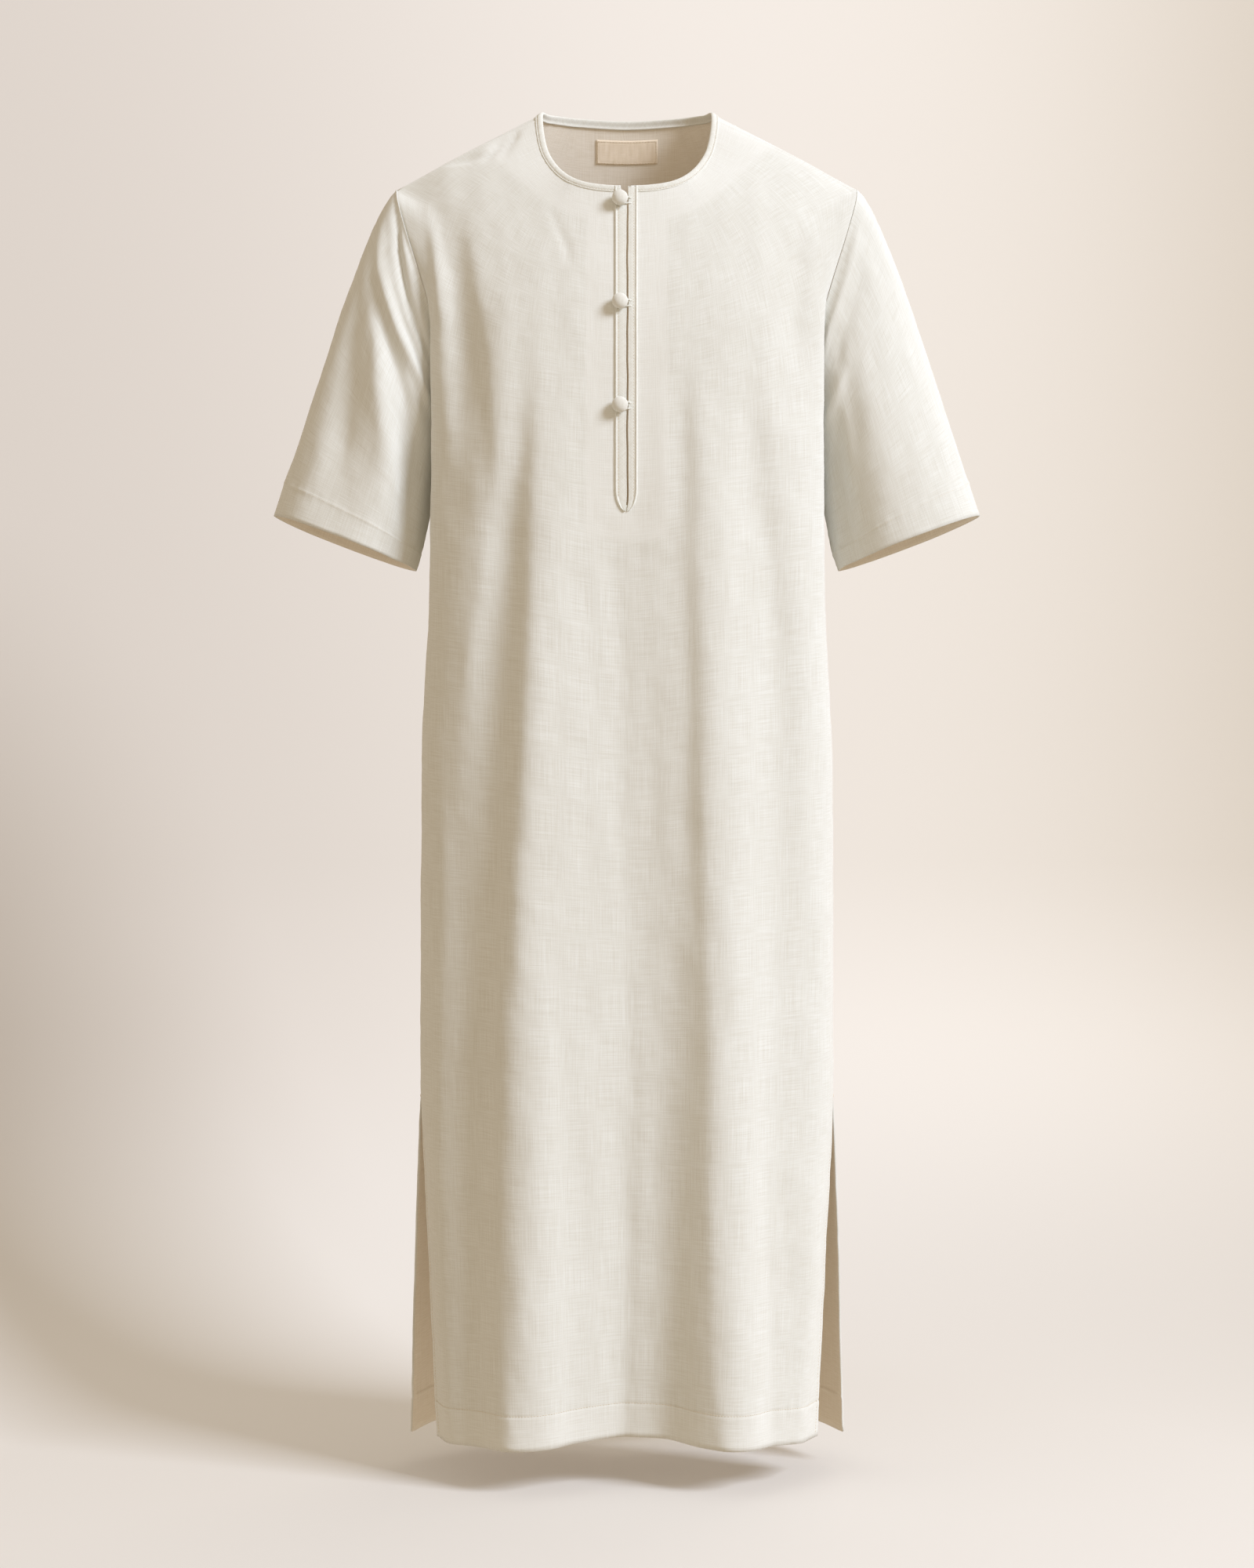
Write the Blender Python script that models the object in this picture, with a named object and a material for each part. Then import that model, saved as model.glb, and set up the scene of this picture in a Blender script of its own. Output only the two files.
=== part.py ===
"""Thobe robe in plain linen, worn by no one: hollow form built from its cut pieces.

Metres, +Z up, the wearer faces -Y, +X is the wearer's left. The origin is the middle between
the two high shoulder points. Cloth pieces are open sheets in space, given a wall afterwards.
"""
import bpy
import numpy as np

# ---- sizes -------------------------------------------------------------------
WALL = 0.0015            # cloth wall
TURNED = 0.0024          # wall where an edge is turned in and sewn down
SEAM_GAP = 0.0003        # clearance between two sewn pieces
HEM_DEPTH = 0.035        # turned hem of front and back
BAND = 0.0075            # neck binding, width
CLEAR = 0.0004           # clearance of a piece that lies on a panel
STRIP = 0.0012           # placket strip, wall
PIPING = 0.0022          # placket strip, wall at its raised outer edge
LIP = 0.0075             # width of the raised edge, as a share across the panel
LIP_FOOT = 0.0095        # where the raised edge has come down to the strip's own wall
BOW = 0.026              # height over which the strips close below
SLIT_TOP_V = 0.3296      # top of the side slits
UNDERARM_V = 1.0
TIP_V = 1.22             # shoulder tip
NECK_V = 1.36            # neck edge
POCKET_V = (0.6638, 0.8121)
POCKET_BEHIND = 0.0028   # pocket bag's first layer, middle of its wall, behind the outside of the front
POCKET_FLAT = 0.0024     # from one layer of the bag to the other: it hangs flat
SLIT_END_V = 0.942       # lower end of the centre-front slit
NOTCH_V = 1.336          # from here to the neck edge the slit's right side leans away
STRIP_END_Z = -0.4238
BUTTON_R = 0.008
BUTTON_OUT = 0.0112      # middle of the ball, out from its foot
SHANK_R = 0.0021
BUTTON_X = -0.0071
BUTTON_Z = (-0.103, -0.212, -0.317)
CORD_R = 0.0011
LOOP_END_X = 0.0045      # where the ends of a loop lie, on the over strip
LABEL_V = (1.318, 1.3425)
LABEL_WALL = 0.0008

# ---- sections: v runs up the panel, in metres from the hem -------------------------
# each row: v; middle y and z; third point x, y and z; corner x, y and z
FRONT_SECTIONS = (
    (0.000, -0.116, -1.364, 0.098, -0.120, -1.368, 0.176, -0.092, -1.372),
    (0.165, -0.122, -1.199, 0.103, -0.123, -1.200, 0.187, -0.084, -1.200),
    (0.330, -0.127, -1.033, 0.106, -0.124, -1.032, 0.194, -0.076, -1.028),
    (0.542, -0.128, -0.820, 0.107, -0.124, -0.812, 0.197, -0.073, -0.805),
    (0.695, -0.129, -0.666, 0.107, -0.124, -0.655, 0.198, -0.073, -0.645),
    (0.828, -0.127, -0.533, 0.107, -0.122, -0.518, 0.1965, -0.071, -0.503),
    (0.920, -0.125, -0.440, 0.107, -0.120, -0.422, 0.1985, -0.069, -0.408),
    (1.000, -0.123, -0.360, 0.107, -0.118, -0.350, 0.1990, -0.070, -0.332),
    (1.075, -0.120, -0.300, 0.106, -0.114, -0.288, 0.1965, -0.071, -0.255),
    (1.150, -0.115, -0.248, 0.102, -0.108, -0.228, 0.186, -0.071, -0.188),
    (1.220, -0.105, -0.193, 0.092, -0.096, -0.172, 0.165, -0.060, -0.122),
    (1.290, -0.090, -0.140, 0.073, -0.080, -0.120, 0.126, -0.048, -0.076),
    (1.360, -0.074, -0.086, 0.052, -0.066, -0.078, 0.080, -0.036, -0.047))
BACK_SECTIONS = (
    (0.000, 0.130, -1.372, 0.100, 0.128, -1.374, 0.192, 0.096, -1.378),
    (0.165, 0.131, -1.203, 0.104, 0.128, -1.203, 0.197, 0.090, -1.204),
    (0.330, 0.130, -1.033, 0.106, 0.127, -1.031, 0.197, 0.082, -1.027),
    (0.542, 0.127, -0.816, 0.107, 0.124, -0.810, 0.197, 0.078, -0.804),
    (0.695, 0.121, -0.658, 0.107, 0.119, -0.650, 0.197, 0.075, -0.643),
    (0.828, 0.108, -0.520, 0.107, 0.107, -0.510, 0.198, 0.069, -0.500),
    (0.920, 0.106, -0.424, 0.107, 0.106, -0.414, 0.199, 0.067, -0.404),
    (1.000, 0.110, -0.340, 0.107, 0.111, -0.334, 0.199, 0.069, -0.324),
    (1.075, 0.114, -0.278, 0.106, 0.115, -0.268, 0.197, 0.071, -0.250),
    (1.150, 0.114, -0.214, 0.102, 0.114, -0.202, 0.187, 0.071, -0.178),
    (1.220, 0.104, -0.144, 0.092, 0.099, -0.134, 0.166, 0.058, -0.110),
    (1.290, 0.084, -0.070, 0.073, 0.078, -0.065, 0.126, 0.045, -0.052),
    (1.360, 0.056, 0.005, 0.052, 0.049, 0.004, 0.080, 0.030, 0.002))

# ---- the line along which each panel is sewn at its side: v, x, y, z ------------------
SIDE_SEAM = (
    (0.3296, 0.2155, 0.000, -1.025),
    (0.542, 0.2142, 0.000, -0.800),
    (0.695, 0.2105, 0.001, -0.638),
    (0.760, 0.2050, 0.001, -0.569),
    (0.828, 0.1975, 0.001, -0.497),
    (0.920, 0.1860, 0.001, -0.400),
    (1.000, 0.1750, 0.000, -0.315))
SLIT_EDGE = {
    "front": ((0.0, 0.1980, -0.030, -1.3745), (0.0776, 0.2022, -0.022, -1.292),
              (0.2160, 0.2098, -0.008, -1.145), (0.2900, 0.2142, -0.002, -1.067),
              (0.3296, 0.2155, 0.000, -1.025)),
    "back": ((0.0, 0.2285, 0.022, -1.380), (0.0776, 0.2260, 0.017, -1.297),
             (0.2160, 0.2215, 0.008, -1.147), (0.2900, 0.2180, 0.002, -1.068),
             (0.3296, 0.2155, 0.000, -1.025))}
ARMHOLE = {
    "front": ((1.0000, 0.1750, 0.000, -0.315), (1.0244, 0.1810, -0.026, -0.302),
              (1.0594, 0.1895, -0.046, -0.264), (1.0928, 0.1995, -0.053, -0.222),
              (1.1322, 0.2140, -0.049, -0.173), (1.1764, 0.2300, -0.037, -0.122),
              (1.2030, 0.2385, -0.022, -0.091), (1.2200, 0.2405, -0.004, -0.078)),
    "back": ((1.0000, 0.1750, 0.000, -0.315), (1.0244, 0.1810, 0.026, -0.303),
             (1.0594, 0.1895, 0.047, -0.267), (1.0928, 0.1990, 0.055, -0.225),
             (1.1322, 0.2115, 0.052, -0.177), (1.1764, 0.2280, 0.038, -0.123),
             (1.2030, 0.2375, 0.016, -0.089), (1.2200, 0.2405, -0.004, -0.078))}
SHOULDER = ((1.2200, 0.2405, -0.004, -0.078), (1.2900, 0.1660, -0.004, -0.0375),
            (1.3600, 0.0885, -0.003, 0.0000))

# ---- folds of the panels: a crest (or a hollow, below zero) down the cloth ------------
# each fold: its line of (z, x, depth), and its half width
FRONT_FOLDS = (
    (((-0.27, -0.079, 0.0), (-0.40, -0.093, 0.004), (-0.57, -0.094, 0.008), (-0.70, -0.107, 0.011),
      (-0.94, -0.121, 0.018), (-1.17, -0.112, 0.027), (-1.38, -0.108, 0.033)), 0.040),
    (((-0.30, 0.071, 0.0), (-0.45, 0.071, 0.005), (-0.60, 0.073, 0.008), (-0.80, 0.082, 0.012),
      (-1.00, 0.088, 0.019), (-1.20, 0.095, 0.026), (-1.38, 0.116, 0.033)), 0.042),
    (((-0.38, -0.020, 0.0), (-0.60, -0.010, -0.005), (-0.82, 0.000, -0.011), (-1.10, 0.003, -0.024),
      (-1.38, 0.006, -0.040)), 0.052),
    (((-0.20, -0.118, 0.0), (-0.30, -0.128, 0.004), (-0.40, -0.142, 0.006), (-0.55, -0.165, 0.005),
      (-0.72, -0.182, 0.0)), 0.026),
    (((-0.32, -0.112, 0.0), (-0.45, -0.122, -0.006), (-0.62, -0.138, -0.007), (-0.86, -0.158, -0.008),
      (-1.15, -0.160, -0.009), (-1.38, -0.160, -0.012)), 0.028),
    (((-0.28, 0.120, 0.0), (-0.42, 0.134, -0.005), (-0.55, 0.146, -0.006), (-0.80, 0.152, -0.007),
      (-1.10, 0.158, -0.009), (-1.38, 0.166, -0.012)), 0.030),
    (((-0.30, 0.160, 0.0), (-0.42, 0.168, 0.004), (-0.60, 0.180, 0.004), (-0.90, 0.184, 0.0)), 0.024),
    (((-0.11, -0.150, 0.0), (-0.18, -0.146, -0.004), (-0.26, -0.136, -0.004), (-0.36, -0.150, 0.0)), 0.022),
    (((-0.09, -0.180, 0.0), (-0.15, -0.176, 0.004), (-0.24, -0.160, 0.003), (-0.32, -0.150, 0.0)), 0.020))
BACK_FOLDS = (
    (((-0.34, -0.085, 0.0), (-0.55, -0.095, 0.008), (-0.80, -0.108, 0.014), (-1.10, -0.118, 0.020),
      (-1.38, -0.128, 0.026)), 0.042),
    (((-0.30, 0.100, 0.0), (-0.50, 0.104, 0.007), (-0.80, 0.110, 0.012), (-1.10, 0.120, 0.022),
      (-1.38, 0.134, 0.028)), 0.040),
    (((-0.30, -0.012, 0.0), (-0.55, -0.008, -0.007), (-0.85, 0.000, -0.013), (-1.15, 0.008, -0.022),
      (-1.38, 0.012, -0.030)), 0.050),
    (((-0.36, 0.052, 0.0), (-0.50, 0.050, 0.004), (-0.70, 0.046, 0.003), (-0.85, 0.046, 0.0)), 0.024),
    (((-0.42, -0.150, 0.0), (-0.60, -0.156, -0.006), (-0.95, -0.166, -0.009), (-1.38, -0.172, -0.012)),
     0.028),
    (((-0.38, 0.150, 0.0), (-0.62, 0.158, -0.005), (-1.00, 0.166, -0.009), (-1.38, 0.178, -0.012)), 0.028))
# ---- folds of a sleeve: crest line of (t down the sleeve, tau round it, depth), half width in tau ---
SLEEVE_FOLDS = {
    "sleeve_right": (
        (((0.10, 0.40, 0.0), (0.30, 0.47, 0.006), (0.60, 0.56, 0.005), (0.85, 0.64, 0.0)), 0.09),
        (((0.25, 0.56, 0.0), (0.50, 0.66, -0.006), (0.80, 0.72, -0.005), (1.00, 0.74, -0.003)), 0.09),
        (((0.35, 0.22, 0.0), (0.60, 0.26, -0.005), (0.90, 0.28, -0.003), (1.00, 0.28, -0.002)), 0.08),
        (((0.30, 1.40, 0.0), (0.60, 1.38, 0.006), (1.00, 1.40, 0.003)), 0.10),
        (((0.40, 1.66, 0.0), (0.70, 1.68, -0.005), (1.00, 1.70, -0.004)), 0.09)),
    "sleeve_left": (
        (((0.10, 0.38, 0.0), (0.35, 0.44, -0.005), (0.60, 0.52, -0.004), (0.80, 0.58, 0.0)), 0.09),
        (((0.25, 0.52, 0.0), (0.55, 0.58, 0.005), (0.80, 0.62, 0.004), (1.00, 0.62, 0.002)), 0.09),
        (((0.45, 0.74, 0.0), (0.70, 0.74, -0.005), (1.00, 0.74, -0.004)), 0.09),
        (((0.25, 1.36, 0.0), (0.60, 1.34, 0.006), (1.00, 1.32, 0.004)), 0.10),
        (((0.40, 1.62, 0.0), (0.70, 1.60, -0.005), (1.00, 1.62, -0.004)), 0.09))}
CUFF_CENTRE = (0.2948, 0.000, -0.4470)
CUFF_HALF = (0.0794, 0.068)          # along the slope of the cuff, and front to back
CUFF_OUT = (0.9345, 0.0, 0.3558)     # the way the cuff opens outwards, up its slope

# ---- where the rows and columns of each grid run ------------------------------------
ROWS = np.array([0.0, 0.035, 0.0365, 0.085, 0.134, 0.183, 0.232, 0.281, 0.3296, 0.377, 0.425, 0.473,
                 0.521, 0.569, 0.617, 0.6638, 0.7133, 0.7627, 0.8121, 0.855, 0.899, 0.942, 1.0,
                 1.0244, 1.0489, 1.0733, 1.0978, 1.1222, 1.1467, 1.1711, 1.1956, 1.22, 1.25, 1.283,
                 1.318, 1.3425, 1.36])
HALF = np.array([0.10, 0.165, 0.23, 0.295, 0.36, 0.425, 0.49, 0.555, 0.62, 0.685, 0.755, 0.825,
                 0.897, 0.967, 1.0])
SLIT_COLUMNS = (-0.0383, -0.0031, 0.0125, 0.0333)     # strip edge, slit edges, strip edge
X_PER_C = 0.321                                       # metres across, near the middle
SLEEVE_STEPS = np.array([0.0, 0.09, 0.19, 0.31, 0.45, 0.60, 0.76, 0.905, 0.912, 1.0])


def clear():
    """Start from an empty file."""
    for item in list(bpy.data.objects):
        bpy.data.objects.remove(item, do_unlink=True)


def smooth(low, high, x):
    """Ramp from 0 at low to 1 at high with flat ends."""
    t = np.clip((np.asarray(x, float) - low) / (high - low), 0.0, 1.0)
    return t * t * (3.0 - 2.0 * t)


def unit(a):
    """Vectors of length one."""
    return a / np.maximum(np.linalg.norm(a, axis=-1, keepdims=True), 1e-12)


def hermite(p0, p1, m0, m1, t):
    """Cubic from p0 to p1 with end speeds m0 and m1."""
    t2, t3 = t * t, t * t * t
    return (p0 * (2 * t3 - 3 * t2 + 1) + m0 * (t3 - 2 * t2 + t)
            + p1 * (3 * t2 - 2 * t3) + m1 * (t3 - t2))


def spline(knots, values, x):
    """Smooth curve through rows of values at the knots, read at x."""
    knots, values, x = np.asarray(knots, float), np.asarray(values, float), np.asarray(x, float)
    if values.ndim == 1:
        values = values[:, None]
    step = np.diff(knots)
    slope = np.diff(values, axis=0) / step[:, None]
    speed = np.empty_like(values)
    speed[1:-1] = (slope[:-1] * step[1:, None] + slope[1:] * step[:-1, None]) / (step[1:] + step[:-1])[:, None]
    speed[0], speed[-1] = slope[0], slope[-1]
    i = np.clip(np.searchsorted(knots, x, side="right") - 1, 0, len(knots) - 2)
    h = step[i][..., None]
    t = ((x - knots[i]) / step[i])[..., None]
    return hermite(values[i], values[i + 1], speed[i] * h, speed[i + 1] * h, t)


def table(rows, x):
    """Read a table whose first column is the knot."""
    rows = np.asarray(rows, float)
    return spline(rows[:, 0], rows[:, 1:], x)


def side_line(face, v):
    """The sewn or free side of a panel on the wearer's left, at v."""
    v = np.asarray(v, float)
    out = np.empty(v.shape + (3,))
    for low, high, rows in ((-1.0, SLIT_TOP_V, SLIT_EDGE[face]), (SLIT_TOP_V, UNDERARM_V, SIDE_SEAM),
                            (UNDERARM_V, TIP_V, ARMHOLE[face]), (TIP_V, 9.0, SHOULDER)):
        mask = (v > low) & (v <= high)
        out[mask] = table(rows, v[mask])
    return out


def sections(face, v):
    """Middle, third and corner points of a panel's row on the wearer's left, at v."""
    t = table(FRONT_SECTIONS if face == "front" else BACK_SECTIONS, v)
    middle = np.stack([np.zeros_like(t[..., 0]), t[..., 0], t[..., 1]], -1)
    return middle, t[..., 2:5], t[..., 5:8]


def column_shift(c, v, third_x):
    """Keep the middle columns at a constant distance across, whatever the row's width."""
    a = np.abs(c)
    hold = 1.0 - smooth(0.05, 0.42, a)
    s = a * (1.0 + hold * (X_PER_C / (3.0 * third_x) - 1.0))
    flare = smooth(NOTCH_V, NECK_V, v) * (1.0 - smooth(0.0031, 0.03, a)) * (c < 0.0)
    return np.clip(s + 0.0345 * flare, 0.0, 1.0)


def panel_form(face, c, v):
    """Point of a panel without its folds; c runs across from -1 to 1, v up from the hem."""
    c, v = np.broadcast_arrays(np.asarray(c, float), np.asarray(v, float))
    middle, third, corner = sections(face, v)
    other = sections("back" if face == "front" else "front", v)[2]
    side = side_line(face, v)
    level = np.clip(v, 0.0, NECK_V)
    ring = 1.0 - smooth(1.0, 1.05, level) * (1.0 - smooth(1.20, 1.27, level))
    ring = (ring * smooth(0.26, 0.34, level))[..., None]
    s = column_shift(c, v, third[..., 0])[..., None]
    speed_middle = third * np.array([3.0, 0.0, 0.0])
    speed_third = (corner - middle) * 1.5
    speed_corner = (side - third) * 1.5
    speed_side = (other - corner) * 1.5 * ring + (side - corner) * 3.0 * (1.0 - ring)
    k = 1.0 / 3.0
    inner = hermite(middle, third, speed_middle * k, speed_third * k, s / k)
    central = hermite(third, corner, speed_third * k, speed_corner * k, (s - k) / k)
    outer = hermite(corner, side, speed_corner * k, speed_side * k, (s - 2 * k) / k)
    p = np.where(s < k, inner, np.where(s < 2 * k, central, outer))
    return p * np.stack([np.where(c < 0.0, -1.0, 1.0), np.ones_like(c), np.ones_like(c)], -1)


def panel_normal(face, c, v):
    """Outward normal of the fold-free panel."""
    e = 0.004
    across = panel_form(face, np.minimum(c + e, 1.0), v) - panel_form(face, np.maximum(c - e, -1.0), v)
    up = (panel_form(face, c, np.minimum(v + e, NECK_V)) - panel_form(face, c, np.maximum(v - e, 0.0)))
    n = np.cross(across, up)
    return unit(n if face == "front" else -n)


def fold_height(folds, x, z):
    """Sum of the crests and hollows at a place on the cloth."""
    total = np.zeros_like(x)
    for line, half in folds:
        line = np.asarray(line)
        at = np.clip(-z, -line[0, 0], -line[-1, 0])
        centre = np.interp(at, -line[:, 0], line[:, 1])
        depth = np.interp(at, -line[:, 0], line[:, 2])
        total = total + depth * np.exp(-((x - centre) / half) ** 2)
    return total


def panel(face, c, v):
    """Point of a panel with its folds, which die out towards the sewn sides."""
    c, v = np.broadcast_arrays(np.asarray(c, float), np.asarray(v, float))
    p = panel_form(face, c, v)
    free = 1.0 - smooth(0.22, 0.36, v)
    hold = smooth(0.0, 0.16, 1.0 - np.abs(c))
    hold = hold + (1.0 - hold) * 0.25 * free
    hold = hold * (1.0 - smooth(1.24, 1.34, v))
    h = fold_height(FRONT_FOLDS if face == "front" else BACK_FOLDS, p[..., 0], p[..., 2]) * hold
    edge = np.clip(np.abs(c), 0.0, 1.0) >= 1.0
    h = np.where(edge & (v >= SLIT_TOP_V - 1e-6), 0.0, h)
    return p + panel_normal(face, c, v) * h[..., None]


def armhole_ring(tau):
    """Armhole point on the wearer's left; tau 0 shoulder tip, 1 underarm (front), 2 tip again."""
    tau = np.asarray(tau, float)
    v = np.where(tau <= 1.0, TIP_V - (TIP_V - UNDERARM_V) * tau, UNDERARM_V + (TIP_V - UNDERARM_V) * (tau - 1.0))
    v = np.clip(v, UNDERARM_V + 1e-9, TIP_V)
    return np.where((tau <= 1.0)[..., None], side_line("front", v), side_line("back", v))


def cuff_ring(tau):
    """Cuff point on the wearer's left, an oval on its slope, the back a little lower."""
    a = np.pi * np.asarray(tau, float)
    out = np.array(CUFF_OUT)
    p = (np.array(CUFF_CENTRE) + np.cos(a)[..., None] * CUFF_HALF[0] * out
         + np.sin(a)[..., None] * CUFF_HALF[1] * np.array([0.0, -1.0, 0.03]))
    return p


def sleeve_form(tau, t):
    """Point of the left sleeve without folds; t runs from the armhole (0) to the cuff (1)."""
    tau, t = np.broadcast_arrays(np.asarray(tau, float), np.asarray(t, float))
    start, end = armhole_ring(tau), cuff_ring(tau)
    reach = np.linalg.norm(end - start, axis=-1, keepdims=True)
    a = np.pi * tau
    lower = (0.5 - 0.5 * np.cos(a))[..., None]
    cap = np.stack([0.80 - 0.10 * lower[..., 0], -0.30 * np.sin(a), -0.62 - 0.12 * lower[..., 0]], -1)
    leave = unit(cap) * (0.33 * reach * (1.0 - lower) + 0.65 * reach * lower)
    arrive = np.array([0.330, 0.0, -0.944]) * reach * 1.05
    return hermite(start, end, leave, arrive, t[..., None])


def sleeve(name, tau, t):
    """Point of a sleeve with its folds, mirrored for the wearer's right."""
    tau, t = np.broadcast_arrays(np.asarray(tau, float), np.asarray(t, float))
    e = 0.004
    p = sleeve_form(tau, t)
    round_it = sleeve_form(tau + e, t) - sleeve_form(tau - e, t)
    down = sleeve_form(tau, np.minimum(t + e, 1.0)) - sleeve_form(tau, np.maximum(t - e, 0.0))
    n = unit(np.cross(down, round_it))
    total = np.zeros_like(tau)
    for line, half in SLEEVE_FOLDS[name]:
        line = np.asarray(line)
        centre = np.interp(t, line[:, 0], line[:, 1])
        depth = np.interp(t, line[:, 0], line[:, 2], left=0.0)
        total = total + depth * np.exp(-((tau - centre) / half) ** 2)
    inner = 1.0 - smooth(0.10, 0.24, np.abs(tau - 1.0))
    total = total * smooth(0.0, 0.15, t) * (1.0 - inner)
    p = p + n * total[..., None]
    return p * np.array([-1.0 if name == "sleeve_right" else 1.0, 1.0, 1.0])


def grid_faces(rows, columns, keep=None, wrap=False):
    """Four-sided faces of a grid of points, row after row."""
    across = columns if wrap else columns - 1
    faces = []
    for i in range(rows - 1):
        for j in range(across):
            if keep is None or keep(i, j):
                k = (j + 1) % columns
                faces.append((i * columns + j, i * columns + k, (i + 1) * columns + k, (i + 1) * columns + j))
    return faces


def turned(face):
    """The face seen from its other side, split along the same diagonal."""
    return (face[0],) + tuple(face[:0:-1])


class Sheet:
    """An open sheet of cloth: points, faces seen from outside, wall outwards and inwards."""

    def __init__(self, name, points, faces, inwards, outwards=0.0):
        used = np.unique(np.array(faces).ravel())
        place = -np.ones(len(points), int)
        place[used] = np.arange(len(used))
        self.name = name
        self.points = np.asarray(points, float)[used]
        self.faces = [tuple(int(place[i]) for i in face) for face in faces]
        self.inwards = np.broadcast_to(inwards, (len(points),))[used]
        self.outwards = np.broadcast_to(outwards, (len(points),))[used]
        self.normals = self.own_normals()

    def own_normals(self):
        """Area-weighted normals at the points."""
        total = np.zeros_like(self.points)
        f = np.array(self.faces)
        p = self.points
        n = np.cross(p[f[:, 2]] - p[f[:, 0]], p[f[:, 3]] - p[f[:, 1]])
        for k in range(4):
            np.add.at(total, f[:, k], n)
        return unit(total)

    def rim(self):
        """Edges that belong to one face, in that face's order."""
        edges = {}
        for face in self.faces:
            for a, b in zip(face, face[1:] + face[:1]):
                edges[(a, b)] = True
        return [edge for edge in edges if (edge[1], edge[0]) not in edges]


def key(point):
    """A place, rounded, to find the points that sewn pieces share."""
    return tuple(int(round(float(x) * 1e6)) for x in point)


def walls(sheets):
    """Give every sheet its wall; sewn pieces share mitred edges a seam gap apart."""
    owners = {}
    for s, sheet in enumerate(sheets):
        for i in sorted({i for edge in sheet.rim() for i in edge}):
            owners.setdefault(key(sheet.points[i]), []).append((s, i))
    shared = {k: v for k, v in owners.items() if len({s for s, _ in v}) > 1}
    built = {}
    for s, sheet in enumerate(sheets):
        across = sheet.normals.copy()
        stretch = np.ones(len(across))
        places = {i: shared.get(key(sheet.points[i])) for edge in sheet.rim() for i in edge}
        for i, group in places.items():
            if group:
                normals = np.array([sheets[o].normals[k] for o, k in group])
                across[i] = unit(normals.sum(0))
                stretch[i] = 1.0 / max(float((normals @ across[i]).min()), 0.36)
        inset = {i: [] for i in places}
        for a, b in sheet.rim():
            if places[a] and places[b] and {o for o, _ in places[a]} & {o for o, _ in places[b]} - {s}:
                along = unit(sheet.points[b] - sheet.points[a])
                into = unit(np.cross(across[a] + across[b], along))
                inset[a].append(into)
                inset[b].append(into)
        points = sheet.points.copy()
        for i, ways in inset.items():
            if ways:
                way = sum(ways)
                turn = 1.0 + (float(ways[0] @ ways[1]) if len(ways) > 1 else 0.0)
                points[i] = points[i] + way * (SEAM_GAP / 2.0) / max(turn, 0.35)
        outer = points + across * (sheet.outwards * stretch)[:, None]
        inner = points - across * (sheet.inwards * stretch)[:, None]
        built[sheet.name] = solid_mesh(outer, inner, sheet.faces, sheet.rim())
    return built


def solid_mesh(outer, inner, faces, rim):
    """Close two copies of a sheet into one body."""
    n = len(outer)
    shell = [tuple(face) for face in faces]
    shell += [tuple(i + n for i in turned(face)) for face in faces]
    for a, b in rim:
        step = outer[b] - outer[a]
        wall = (b, a, a + n, b + n)
        shell.append(wall if step[np.argmax(np.abs(step))] > 0.0 else wall[1:] + wall[:1])
    return np.vstack([outer, inner]), shell


# ---- materials ------------------------------------------------------------------
def material(name, colour, roughness):
    """A Principled material of one colour."""
    mat = bpy.data.materials.new(name)
    mat.use_nodes = True
    shader = mat.node_tree.nodes["Principled BSDF"]
    shader.inputs["Base Color"].default_value = (*colour, 1.0)
    shader.inputs["Roughness"].default_value = roughness
    mat.diffuse_color = (*colour, 1.0)
    return mat


def place_object(name, points, faces, mat, round_faces=True):
    """Make one named object of triangles from points and faces."""
    triangles = []
    for face in faces:
        triangles += [(face[0], face[k], face[k + 1]) for k in range(1, len(face) - 1)]
    mesh = bpy.data.meshes.new(name)
    mesh.from_pydata([tuple(map(float, p)) for p in points], [], triangles)
    mesh.validate()
    mesh.update()
    mesh.materials.append(mat)
    mesh.polygons.foreach_set("use_smooth", [round_faces] * len(mesh.polygons))
    thing = bpy.data.objects.new(name, mesh)
    bpy.context.scene.collection.objects.link(thing)
    return thing


# ---- the cloth pieces ---------------------------------------------------------------
def panel_columns(face):
    """Column values across a panel."""
    middle = np.array(SLIT_COLUMNS) if face == "front" else np.array([0.0])
    return np.concatenate([-HALF[::-1], middle, HALF])


def panel_points(face):
    """Grid of points of a panel; the top row stops where the neck binding starts."""
    c = panel_columns(face)
    grid = panel(face, c[None, :], ROWS[:, None])
    edge = grid[-1].copy()
    down = unit(panel(face, c, np.full_like(c, NECK_V - 0.006)) - edge)
    grid[-1] = edge + down * BAND
    for row, v in enumerate(ROWS):
        if face == "front" and POCKET_V[0] + 1e-6 < v < POCKET_V[1] - 1e-6:
            grid[row, 0] += (0.0012, -0.0028, 0.0)
            grid[row, -1] += (-0.0012, -0.0028, 0.0)
    return grid, edge


def panel_wall(face):
    """Wall of a panel: thicker along the hem and the edges of the side slits."""
    c = panel_columns(face)
    wall = np.full((len(ROWS), len(c)), WALL)
    wall[ROWS <= HEM_DEPTH + 1e-6] = TURNED
    below = ROWS < SLIT_TOP_V - 1e-6
    wall[np.ix_(below, np.abs(c) > 0.9)] = TURNED
    return wall


def panel_sheet(face, grid):
    """The front or the back as a sheet."""
    c = panel_columns(face)
    rows, columns = grid.shape[:2]
    gap = int(np.argmin(np.abs(c - SLIT_COLUMNS[1])))

    def keep(i, j):
        return face == "back" or j != gap or ROWS[i] < SLIT_END_V - 1e-6

    faces = grid_faces(rows, columns, keep)
    if face == "back":
        faces = [turned(f) for f in faces]
    return Sheet(face, grid.reshape(-1, 3), faces, panel_wall(face).ravel())


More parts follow.
